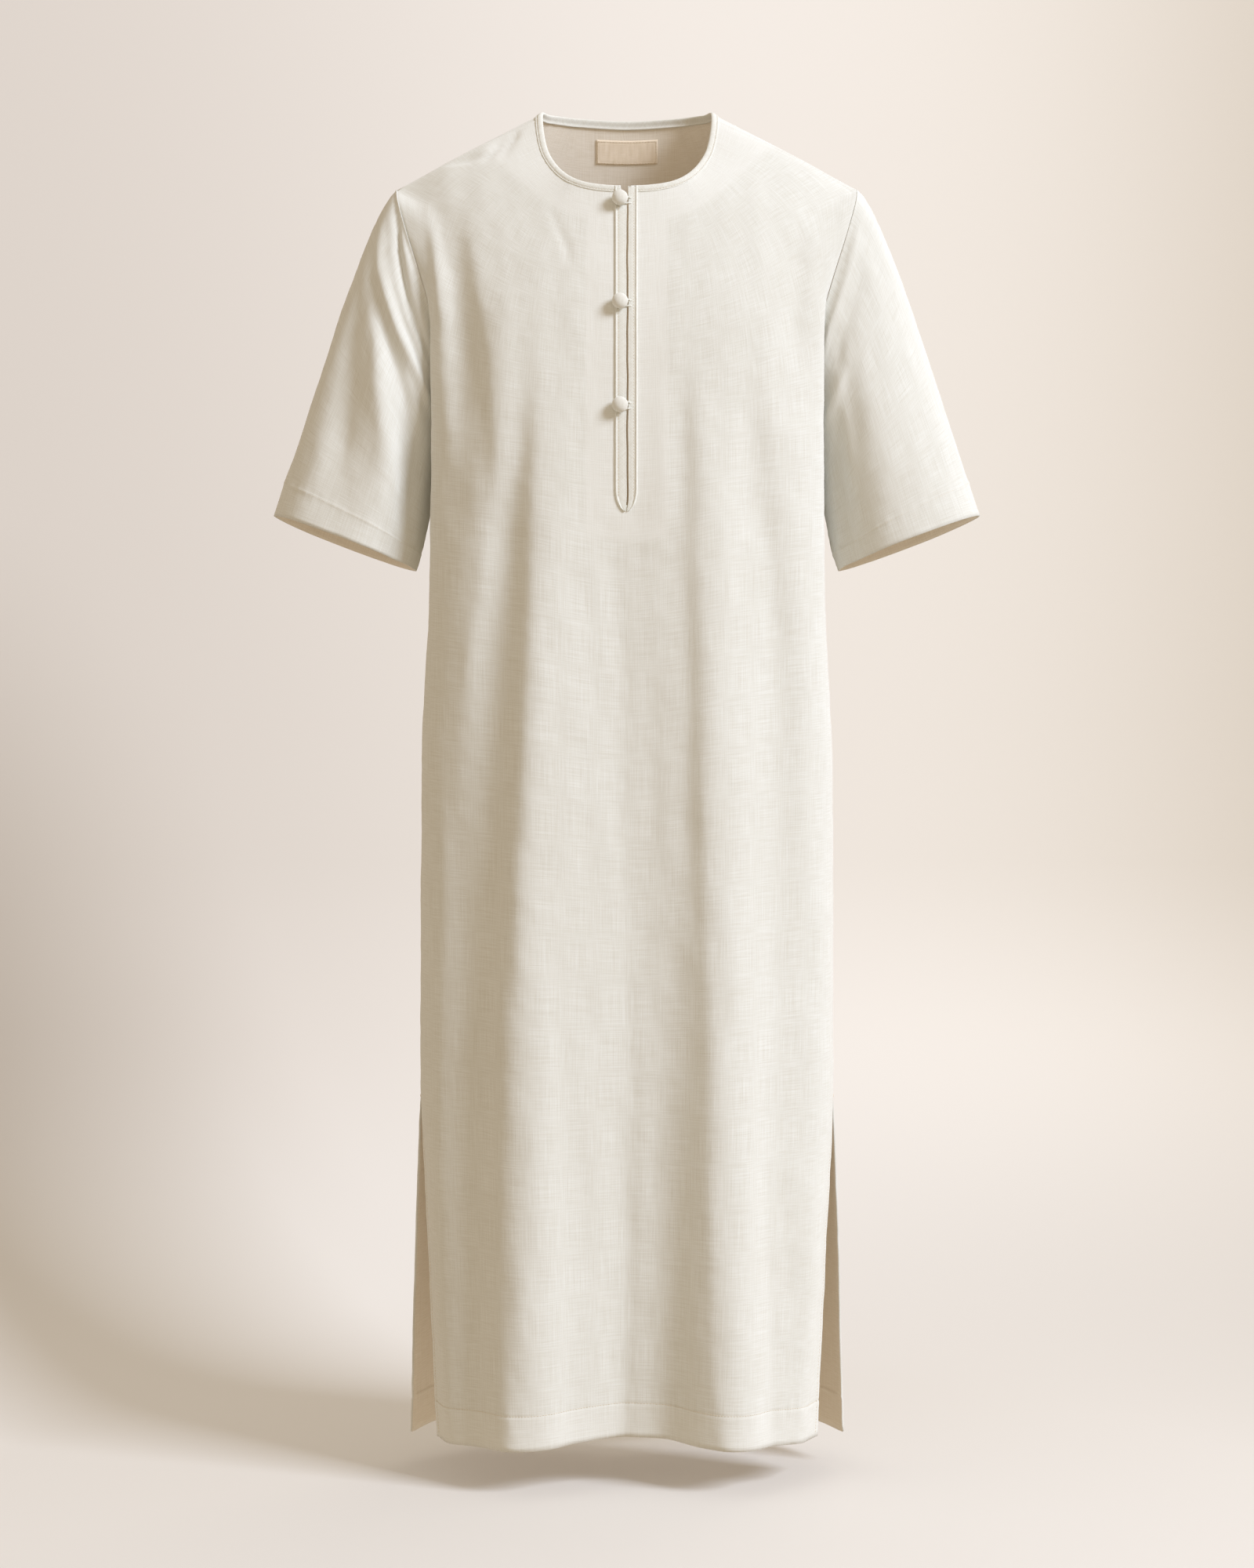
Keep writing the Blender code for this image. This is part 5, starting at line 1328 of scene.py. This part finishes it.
@dataclass
class PlacketStrip:
    """One of the two strips that finish the centre-front slit, with a piped outer edge."""

    side: Side
    front: PanelForm
    finish: Finish
    end_z: float = -0.4238
    bow: float = 0.021
    gap: float = 0.0001
    under_count: int = 4
    # (share of the way, metres across, height) from the outer edge to the slit, over the top
    raised: Rows = (
        (0.0, 0.0, 0.0001), (0.0, 0.0002, 0.0011), (0.0, 0.0007, 0.0019), (0.0, 0.0013, 0.0022),
        (0.0, 0.0019, 0.0019), (0.0, 0.0024, 0.0012), (0.0, 0.0030, 0.00095), (0.0, 0.0037, 0.0012),
        (0.40, 0.0018, 0.00135), (0.68, 0.0002, 0.0013), (1.0, -0.0021, 0.00128), (1.0, -0.0016, 0.00112),
        (1.0, -0.0011, 0.00128), (1.0, -0.0004, 0.00135), (1.0, -0.0001, 0.0011), (1.0, 0.0, 0.0004),
        (1.0, -0.0003, -0.0004), (1.0, -0.0012, -0.0007))

    def lines(self) -> tuple[Array, Array, Array]:
        """Rows of the strip, with its outer edge and its inner edge.

        The outer edge bows in below as sqrt(1 - s^2). The inner edge runs beside the slit, where it
        follows the slit's flare at the neck and wanders by two slow sines.

        Returns:
            Rows, and the two edges as columns.
        """
        end = self.front.row_at(0.0, self.end_z)
        steps = np.array([0.0, 0.0003, 0.001, 0.0018, 0.003, 0.0045, 0.0065, 0.009, 0.012, 0.016, 0.021])
        rows = np.unique(np.concatenate([end + steps, np.arange(end + 0.026, NECK_V - 0.003, 0.0032),
                                         [NECK_V - 0.0016]]))
        middle, half = 0.5 * (STRIP_OUT_RIGHT + STRIP_OUT_LEFT), 0.5 * (STRIP_OUT_LEFT - STRIP_OUT_RIGHT)
        bow = np.sqrt(1.0 - np.clip((end + self.bow - rows) / self.bow, 0.0, 1.0) ** 2)
        side, under = self.side.value, self.side is Side.RIGHT
        outer = middle + side * half * np.maximum(bow, 0.10)
        flare = 0.016 * smooth(NOTCH_V, NECK_V, rows) * under
        inner = middle + ((0.0010 if under else 0.0006) - flare - middle) * smooth(0.3, 1.0, bow)
        wander = 0.0007 * np.sin(rows * 2 * np.pi / 0.118 + 0.6) + 0.0004 * np.sin(rows * 2 * np.pi / 0.047)
        clear = side * 0.0027 + side * self.gap / X_PER_C * smooth(0.3, 1.0, bow)
        return rows, outer, inner + clear + wander * smooth(0.5, 1.0, bow)

    def build(self) -> bpy.types.Object:
        """Mesh: the profile laid on the front and squeezed where the strip is narrow.

        Returns:
            The object.
        """
        rows, outer, inner = self.lines()
        share, across, height = np.asarray(self.raised).T
        width = np.abs(inner - outer)[:, None] * X_PER_C
        place = share[None] * width + across[None] * np.minimum(1.0, width / 0.0085)
        c = outer[:, None] - self.side.value * place / X_PER_C
        base, n = self.front.frame(c, np.broadcast_to(rows[:, None], c.shape))
        top = base + n * height[None, :, None]
        back = np.arange(1, self.under_count + 1) / self.under_count
        under_c = c[:, -1:] + (c[:, :1] - c[:, -1:]) * back
        base, n = self.front.frame(under_c, np.broadcast_to(rows[:, None], under_c.shape))
        grid = np.concatenate([top, base - n * 0.0007], axis=1)
        points = grid.reshape(-1, 3)
        around = np.concatenate([place, np.broadcast_to(0.010 * back, under_c.shape)], axis=1)
        uv = np.stack(np.broadcast_arrays(around, rows[:, None]), -1).reshape(-1, 2)
        layer = "under" if self.side is Side.RIGHT else "over"
        return make_piece(f"placket_strip_{layer}", points, outwards(points, rod_faces(*grid.shape[:2])),
                          self.finish, (f"placket_{layer}",), uv)


@dataclass
class Fastening:
    """A covered ball button on its shank, held by a twisted cord loop."""

    number: int
    height: float
    front: PanelForm
    button_finish: Finish
    cord_finish: Finish
    ball_radius: float = 0.0081
    ball_depth: float = 0.0067
    ball_out: float = 0.0084
    shank_radius: float = 0.0021
    shank_foot: float = 0.0016
    cord_radius: float = 0.00095
    cord_height: float = 0.0024
    place_x: float = -0.0071

    def axes(self) -> tuple[Array, Array, Array, Array]:
        """Where the button sits.

        Returns:
            Its foot on the cloth, and the directions out, across and up.
        """
        c = np.linspace(-0.06, 0.06, 400)
        v = self.front.row_at(self.place_x / X_PER_C, self.height)
        c = float(np.interp(self.place_x, self.front.form(c, np.full_like(c, v))[:, 0], c))
        p = self.front.form(np.array([c]), np.array([v]))[0]
        n = self.front.form_normal(np.array([c]), np.array([v]))[0]
        across = unit(np.array([1.0, 0.0, 0.0]) - n * n[0])
        return p, n, across, -np.cross(across, n)

    def build(self) -> list[bpy.types.Object]:
        """The button and its loop."""
        axes = self.axes()
        return [self.button(*axes), self.loop(*axes)]

    def button(self, p: Array, n: Array, across: Array, up: Array) -> bpy.types.Object:
        """Flattened ball on a short shank, its cover gathered in small pleats towards the shank.

        The radius at angle a round and latitude b is R cos b (1 + 0.018 cos 12a), the pleats fading
        to the front pole, and the height is the ball's centre plus its depth times sin b.

        Args:
            p: foot on the cloth.
            n, across, up: its directions.

        Returns:
            The object.
        """
        turns = 48
        b = np.linspace(-np.arccos(self.shank_radius / self.ball_radius), np.pi / 2, 34)[:-1]
        a = np.linspace(0.0, 2 * np.pi, turns, endpoint=False)
        grid_a, grid_b = np.meshgrid(a, b)
        pleat = 1.0 + 0.018 * np.cos(12 * grid_a) * smooth(0.9, -0.9, grid_b)
        pleat = pleat + 0.004 * uneven(grid_a, grid_b, 1.3, 31 + self.number)
        ball_out = self.ball_out + self.ball_depth * np.sin(grid_b)
        shank_out = np.broadcast_to(np.array([[self.shank_foot], [0.0030]]), (2, turns))
        shank_radius = np.full((2, turns), self.shank_radius)
        radius = np.vstack([shank_radius, self.ball_radius * np.cos(grid_b) * pleat])
        out = np.vstack([shank_out, ball_out])
        ring = np.cos(a)[:, None] * across + np.sin(a)[:, None] * up
        grid = p + n * out[..., None] + radius[..., None] * ring[None]
        foot = np.broadcast_to(p + n * self.shank_foot, (1, turns, 3))
        pole = np.broadcast_to(p + n * (self.ball_out + self.ball_depth), (1, turns, 3))
        points, faces = welded(np.concatenate([foot, grid, pole]))
        place = np.stack([(points - p) @ across, (points - p) @ up], -1)
        return make_piece(f"ball_button_{self.number}", points, outwards(points, faces), self.button_finish,
                          (f"button_{self.number}",), place)

    def loop(self, p: Array, n: Array, across: Array, up: Array) -> bpy.types.Object:
        """Cord from the over strip round the shank and back; its ends dip into the strip.

        Args:
            p: foot on the cloth.
            n, across, up: its directions.

        Returns:
            The object.
        """
        radius = self.shank_radius + 0.0006 + self.cord_radius
        turn = np.linspace(-np.pi / 2, -1.5 * np.pi, 29)
        straight = np.linspace(1.0, 0.0, 14)[:-1]
        along = (0.0045 - self.place_x) * straight
        apart = radius * (1.0 - 0.25 * straight ** 2)
        high = self.cord_height - 0.0015 * smooth(0.72, 1.0, straight)
        bend = np.stack([radius * np.cos(turn), radius * np.sin(turn), np.full(29, self.cord_height)], -1)
        lower, upper = np.stack([along, -apart, high], -1), np.stack([along, apart, high], -1)
        line = np.vstack([lower, bend, upper[::-1]])
        path = by_length(p + line[:, :1] * across + line[:, 1:2] * up + line[:, 2:] * n, 0.0005)
        points, faces = tube(path, self.cord_radius, 12, 380.0, n)
        return make_piece(f"cord_loop_{self.number}", points, outwards(points, faces), self.cord_finish,
                          (f"loop_{self.number}",),
                          np.stack([points[:, 0] + points[:, 2], points[:, 1]], -1))


def welded(grid: Array) -> tuple[Array, list[list[int]]]:
    """A grid of rings whose first and last rings are one point each.

    Args:
        grid: rows x columns x 3.

    Returns:
        Points, and faces with three or four sides.
    """
    rows, columns = grid.shape[:2]
    points = np.vstack([grid[0, :1], grid[1:-1].reshape(-1, 3), grid[-1, :1]])
    body = grid_faces(rows - 2, columns, wrap=True) + 1
    j = np.arange(columns)
    k = (j + 1) % columns
    base = 1 + (rows - 3) * columns
    low = np.stack([np.zeros(columns, int), k + 1, j + 1], -1)
    high = np.stack([base + j, base + k, np.full(columns, len(points) - 1)], -1)
    return points, body.tolist() + low.tolist() + high.tolist()


@dataclass
class NeckLabel:
    """Blank woven label inside the back of the neck, its ends folded under."""

    back: PanelForm
    finish: Finish
    half_c: float = 0.100
    low_v: float = 1.3205
    high_v: float = 1.3427

    def build(self) -> bpy.types.Object:
        """Mesh: a cushioned rectangle, thickest a little inside its edges.

        Returns:
            The object.
        """
        s, r = np.linspace(-1.0, 1.0, 61), np.linspace(0.0, 1.0, 27)
        grid_s, grid_r = np.meshgrid(s, r)
        c = self.half_c * grid_s
        v = self.low_v + (self.high_v - self.low_v) * grid_r
        edge = np.minimum((1.0 - np.abs(grid_s)) * 0.032, np.minimum(grid_r, 1.0 - grid_r) * 0.0246)
        puff = 0.0009 * smooth(0.0, 0.0012, edge) - 0.00025 * bell(edge - 0.0022, 0.0006)
        puff = puff + 0.00015 * uneven(c, v, 0.02, 41)
        base, n = self.back.form(c, v), self.back.form_normal(c, v)
        near = base - n * (CLOTH + 0.0006)
        far = base - n * (CLOTH + 0.0008 + puff)[..., None]
        points, faces = closed_shell(far.reshape(-1, 3), near.reshape(-1, 3), grid_faces(27, 61))
        uv = np.stack([c * X_PER_C, v], -1).reshape(-1, 2)
        return make_piece("neck_label_blank", points, outwards(points, faces), self.finish,
                          ("label",), np.vstack([uv, uv]))

    def stitch_lines(self) -> list[tuple[Array, Array]]:
        """Rows of stitches just inside the label's four edges.

        Returns:
            Lines and their normals.
        """
        side, low, high = self.half_c * 0.95, self.low_v + 0.0014, self.high_v - 0.0014
        lines = []
        for c0, c1, v0, v1 in ((-side, side, high, high), (-side, side, low, low),
                               (-side, -side, low, high), (side, side, low, high)):
            c, v = np.linspace(c0, c1, 60), np.linspace(v0, v1, 60)
            n = -self.back.form_normal(c, v)
            lines.append((self.back.form(c, v) + n * (CLOTH + 0.0017), n))
        return lines


@dataclass
class PocketBag:
    """Flat bag behind the front, open at the side seam and closed deep inside."""

    side: Side
    front: PanelForm
    finish: Finish
    half_wall: float = 0.0003

    def build(self) -> bpy.types.Object:
        """Mesh: rings from the mouth inwards; each is the near layer down and the far layer up.

        Returns:
            The object.
        """
        depth, steps = np.linspace(0.985, 0.60, 26), np.linspace(0.0, 1.0, 24)
        spread = smooth(0.985, 0.72, depth)
        top, low = POCKET_HIGH_V - 0.002 + 0.004 * spread, POCKET_LOW_V + 0.002 - 0.085 * spread
        v = top[:, None] + (low - top)[:, None] * steps[None]
        c = self.side.value * np.broadcast_to(depth[:, None], v.shape)
        base, n = self.front.form(c, v), self.front.form_normal(c, v)
        arch = np.sin(np.pi * steps)[None]
        belly = arch * smooth(0.60, 0.66, depth)[:, None]
        mouth = bell(depth - 0.985, 0.02)[:, None]
        behind = self.front.relief(c, v, base) - 0.0020 * mouth
        near = base + n * (behind - 0.0030)[..., None]
        far = base + n * (behind - 0.0034 - 0.0024 * belly - 0.004 * mouth * arch)[..., None]
        grid = np.concatenate([near, far[:, ::-1]], axis=1)
        shift = grid_normals(grid, True) * self.half_wall
        faces = grid_faces(*grid.shape[:2], wrap=True)
        points, faces = closed_shell((grid + shift).reshape(-1, 3), (grid - shift).reshape(-1, 3), faces)
        name = f"pocket_{self.side.name.lower()}"
        uv = np.stack([grid[..., 0] + grid[..., 1], grid[..., 2]], -1).reshape(-1, 2)
        return make_piece(name.replace("pocket", "pocket_bag"), points, outwards(points, faces), self.finish,
                          (name,), np.vstack([uv, uv]))


@dataclass
class Stitching:
    """Sewing thread: rows of running stitches, each a small arched capsule, and bar tacks."""

    finish: Finish
    pitch: float = 0.0031
    length: float = 0.0023
    radius: float = 0.00026
    bar_length: float = 0.0055
    bar_count: int = 12
    bar_stitch: float = 0.0024
    bar_radius: float = 0.00050
    rows: list[tuple[Array, Array]] = field(default_factory=list)
    bars: list[tuple[Array, Array, Array]] = field(default_factory=list)

    def add_row(self, line: Array, normals: Array) -> None:
        """Keep a line that a row of stitches will follow."""
        self.rows.append((line, normals))

    def add_bar(self, centre: Array, along: Array, normal: Array) -> None:
        """Keep the place of a bar tack."""
        self.bars.append((centre, along, normal))

    @staticmethod
    def capsules(line: Array, normals: Array, pitch: float, length: float,
                 radius: float) -> tuple[Array, Array]:
        """All the stitches of one row at once: rings of six points, wide in the middle, sunk at the ends.

        Args:
            line, normals: the row and the cloth's normals along it.
            pitch, length: from one stitch to the next, and of one stitch.
            radius: of the thread.

        Returns:
            Points and four-sided faces.
        """
        both = by_length(np.hstack([line, normals]), pitch)
        centre, n = both[:-1, :3] * 0.5 + both[1:, :3] * 0.5, unit(both[:-1, 3:] + both[1:, 3:])
        along = unit(both[1:, :3] - both[:-1, :3])
        side = np.cross(n, along)
        s = np.array([-0.5, -0.36, 0.0, 0.36, 0.5]) * length
        r = np.array([0.30, 0.85, 1.0, 0.85, 0.30])[None, :, None, None] * radius
        arch = np.array([-0.9, 0.0, 0.45, 0.0, -0.9]) * radius
        a = np.linspace(0.0, 2 * np.pi, 6, endpoint=False)[None, None, :, None]
        core = centre[:, None] + along[:, None] * s[None, :, None] + n[:, None] * arch[None, :, None]
        points = core[:, :, None] + np.cos(a) * r * n[:, None, None] + np.sin(a) * r * side[:, None, None]
        one = outwards(points[0].reshape(-1, 3), rod_faces(5, 6))
        faces = (one[None] + (np.arange(len(centre)) * 30)[:, None, None]).reshape(-1, 4)
        return points.reshape(-1, 3), faces

    def bar(self, centre: Array, along: Array, normal: Array) -> tuple[Array, Array]:
        """A bar tack: short stitches side by side, two in each line across the bar.

        Args:
            centre: middle of the bar.
            along, normal: its direction, and out of the cloth.

        Returns:
            Points and four-sided faces.
        """
        line = centre + along * np.linspace(-0.5, 0.5, self.bar_count)[:, None] * self.bar_length
        across, normals = np.cross(normal, along) * 0.001, np.stack([normal, normal])
        return join([self.capsules(np.stack([q - across, q + across]), normals, 0.002, self.bar_stitch,
                                   self.bar_radius) for q in line])

    def build(self) -> bpy.types.Object:
        """Mesh: every stitch of the robe.

        Returns:
            The object.
        """
        parts = [self.capsules(line, n, self.pitch, self.length, self.radius) for line, n in self.rows]
        points, faces = join(parts + [self.bar(*bar) for bar in self.bars])
        return make_piece("stitching", points, faces, self.finish, (),
                          np.stack([points[:, 0] + points[:, 1], points[:, 2]], -1))


@dataclass
class Seamstress:
    """Lays out every visible row of stitches on the finished forms."""

    front: PanelForm
    back: PanelForm
    sleeves: tuple[SleeveForm, SleeveForm]
    binding: NeckBinding
    label: NeckLabel
    lift: float = 0.00018
    strip_lift: float = 0.00115

    def row_on_panel(self, form: PanelForm, c: Array, v: Array, lift: float) -> tuple[Array, Array]:
        """A line just above a panel, and its normals."""
        p, n = form.frame(c, v)
        return p + n * lift, n

    def slit_columns(self, form: PanelForm, v: Array) -> Array:
        """Columns as far in from a side edge as its turning: one minus distance over the row's last span."""
        near, edge = form.form(np.full_like(v, 0.94), v), form.form(np.ones_like(v), v)
        return 1.0 - 0.06 * form.edge_turn / np.linalg.norm(edge - near, axis=-1)

    def cuff_row(self, sleeve: SleeveForm) -> tuple[Array, Array]:
        """Stitches round a cuff.

        Args:
            sleeve: the sleeve's form.

        Returns:
            The line and its normals.
        """
        tau = np.linspace(0.0, 2.0, 300)
        t = np.full_like(tau, CUFF_T)
        p = sleeve.point(tau, t)
        down = sleeve.point(tau, t + 0.01) - sleeve.point(tau, t - 0.01)
        n = unit(np.cross(down, np.gradient(p, axis=0))) * sleeve.side.value
        return p + n * self.lift, n

    def sew(self, work: Stitching) -> None:
        """Hems, cuffs, side slits, neck band, label and placket.

        Args:
            work: takes the rows.
        """
        for form in (self.front, self.back):
            c = np.linspace(-0.985, 0.985, 420)
            work.add_row(*self.row_on_panel(form, c, np.full_like(c, HEM_V), self.lift))
            v = np.linspace(0.004, SLIT_TOP_V - 0.002, 160)
            edge = self.slit_columns(form, v)
            work.add_row(*self.row_on_panel(form, edge, v, self.lift))
            work.add_row(*self.row_on_panel(form, -edge, v, self.lift))
        for sleeve in self.sleeves:
            work.add_row(*self.cuff_row(sleeve))
        work.add_row(*self.binding.stitch_line())
        for line, n in self.label.stitch_lines():
            work.add_row(line, n)
        v = np.linspace(0.950, 1.350, 260)
        for c in (STRIP_OUT_RIGHT + 0.0118, STRIP_OUT_LEFT - 0.0118):
            work.add_row(*self.row_on_panel(self.front, np.full_like(v, c), v, self.strip_lift))
        self.tack(work)

    def tack(self, work: Stitching) -> None:
        """Bar tacks at the top of each side slit and at both ends of each pocket.

        Args:
            work: takes the bars.
        """
        for side in (-1.0, 1.0):
            for v, c in ((SLIT_TOP_V + 0.001, 0.992), (POCKET_LOW_V, 0.990), (POCKET_HIGH_V, 0.990)):
                p, n = self.front.frame(np.array([side * c]), np.array([v]))
                inner, _ = self.front.frame(np.array([side * (c - 0.02)]), np.array([v]))
                work.add_bar((p + n * self.lift)[0], unit(inner - p)[0], n[0])


# ---- studio -----------------------------------------------------------------------------------
@dataclass(frozen=True)
class Lamp:
    """A rectangular soft light."""

    name: str
    place: Place
    aim: Place
    width: float
    watts: float
    colour: str

    def build(self) -> None:
        """Hang the light and turn it to its aim: yaw atan2(-x, y), pitch asin(z) of the way there."""
        light = bpy.data.lights.new(self.name, "AREA")
        light.shape, light.size = "SQUARE", self.width
        light.energy, light.color = self.watts, from_hex(self.colour)[:3]
        lamp = bpy.data.objects.new(self.name, light)
        way = unit(np.array(self.aim) - np.array(self.place))
        lamp.location = self.place
        lamp.rotation_euler = (float(np.pi / 2 + np.arcsin(way[2])), 0.0, float(np.arctan2(-way[0], way[1])))
        lamp.visible_camera = False
        bpy.context.scene.collection.objects.link(lamp)


@dataclass
class Studio:
    """Round paper drum, a soft key from the upper right in front, a weak light behind, and the camera."""

    floor_z: float = -1.414
    flat_radius: float = 0.74
    wall_radius: float = 1.35
    centre_y: float = -0.20
    wall_top: float = 1.6
    paper: StudioPaper = PAPER
    key: Lamp = Lamp("key", (5.28, -4.12, 3.60), (0.0, 0.0, -0.7), 2.8, 640.0, "#E6EFFF")
    rim: Lamp = Lamp("rim", (1.5, 3.6, 1.6), (0.0, 0.0, -0.6), 2.4, 22.0, "#FFF6EA")
    air: float = 0.57
    air_colour: str = "#FFEBD0"

    def cove(self) -> bpy.types.Object:
        """Surface of revolution: flat floor, a quarter round, then an upright wall.

        Returns:
            The object.
        """
        bend = self.wall_radius - self.flat_radius
        a = np.linspace(0.0, np.pi / 2, 20)
        floor = np.linspace(0.02, self.flat_radius, 24)[:-1]
        radius = np.concatenate([floor, self.flat_radius + bend * np.sin(a), [self.wall_radius] * 4])
        upright = np.linspace(bend + 0.2, self.wall_top - self.floor_z, 4)
        height = np.concatenate([floor * 0.0, bend * (1.0 - np.cos(a)), upright]) + self.floor_z
        turn = np.linspace(0.0, 2 * np.pi, 96, endpoint=False)
        ring = np.stack([np.cos(turn), np.sin(turn), turn * 0.0], -1)
        centre = np.stack([height * 0.0, height * 0.0 + self.centre_y, height], -1)
        grid = centre[:, None] + radius[:, None, None] * ring[None]
        mesh = bpy.data.meshes.new("studio_paper")
        faces = grid_faces(len(radius), 96, wrap=True)[:, ::-1].tolist() + [list(range(96))]
        mesh.from_pydata(grid.reshape(-1, 3).tolist(), [], faces)
        mesh.update()
        mesh.polygons.foreach_set("use_smooth", np.ones(len(mesh.polygons), bool))
        mesh.materials.append(self.paper.build())
        cove = bpy.data.objects.new("studio_paper", mesh)
        bpy.context.scene.collection.objects.link(cove)
        cove.visible_shadow = False
        cove.visible_diffuse = False
        return cove

    def build(self) -> None:
        """Cove, lights, air and camera."""
        self.cove()
        self.key.build()
        self.rim.build()
        world = bpy.data.worlds.new("studio air")
        world.use_nodes = True
        sky = world.node_tree.nodes["Background"]
        sky.inputs["Color"].default_value = from_hex(self.air_colour)
        sky.inputs["Strength"].default_value = self.air
        bpy.context.scene.world = world
        camera = bpy.data.objects.new("camera", bpy.data.cameras.new("camera"))
        camera.location = (0.0, -3.4, -0.6986)
        camera.rotation_euler = (float(np.pi / 2), 0.0, 0.0)
        camera.data.lens, camera.data.sensor_width = 74.63, 36.0
        camera.data.clip_end = 60.0
        bpy.context.scene.collection.objects.link(camera)
        bpy.context.scene.camera = camera
        bpy.context.scene.view_settings.view_transform = "Standard"


def main() -> None:
    """Build the pieces in order, then the studio."""
    logging.basicConfig(level=logging.INFO, format="%(name)s: %(message)s")
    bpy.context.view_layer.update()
    linen, inside, trim, thread = LINEN.build(), LINEN_INSIDE.build(), TRIM.build(), THREAD.build()
    covered, woven, pocketing = BUTTON_CLOTH.build(), LABEL.build(), POCKET.build()
    front, back = PanelForm(Face.FRONT), PanelForm(Face.BACK)
    sleeves = (SleeveForm(Side.RIGHT, front, back), SleeveForm(Side.LEFT, front, back))
    Panel(front, 134, 0.0054, linen, inside, (0.61, 1.38), 0.757).build()
    Panel(back, 104, 0.0066, linen, inside, (0.63, 1.41), 0.795).build()
    for sleeve in sleeves:
        Sleeve(sleeve, linen, inside).build()
    binding, label = NeckBinding(front, back, trim), NeckLabel(back, woven)
    binding.build()
    for side in Side:
        PlacketStrip(side, front, trim).build()
        PocketBag(side, front, pocketing).build()
    for number, height in enumerate((-0.103, -0.212, -0.317), 1):
        Fastening(number, height, front, covered, trim).build()
    label.build()
    work = Stitching(thread)
    Seamstress(front, back, sleeves, binding, label).sew(work)
    work.build()
    Studio().build()


if __name__ == "__main__":
    main()
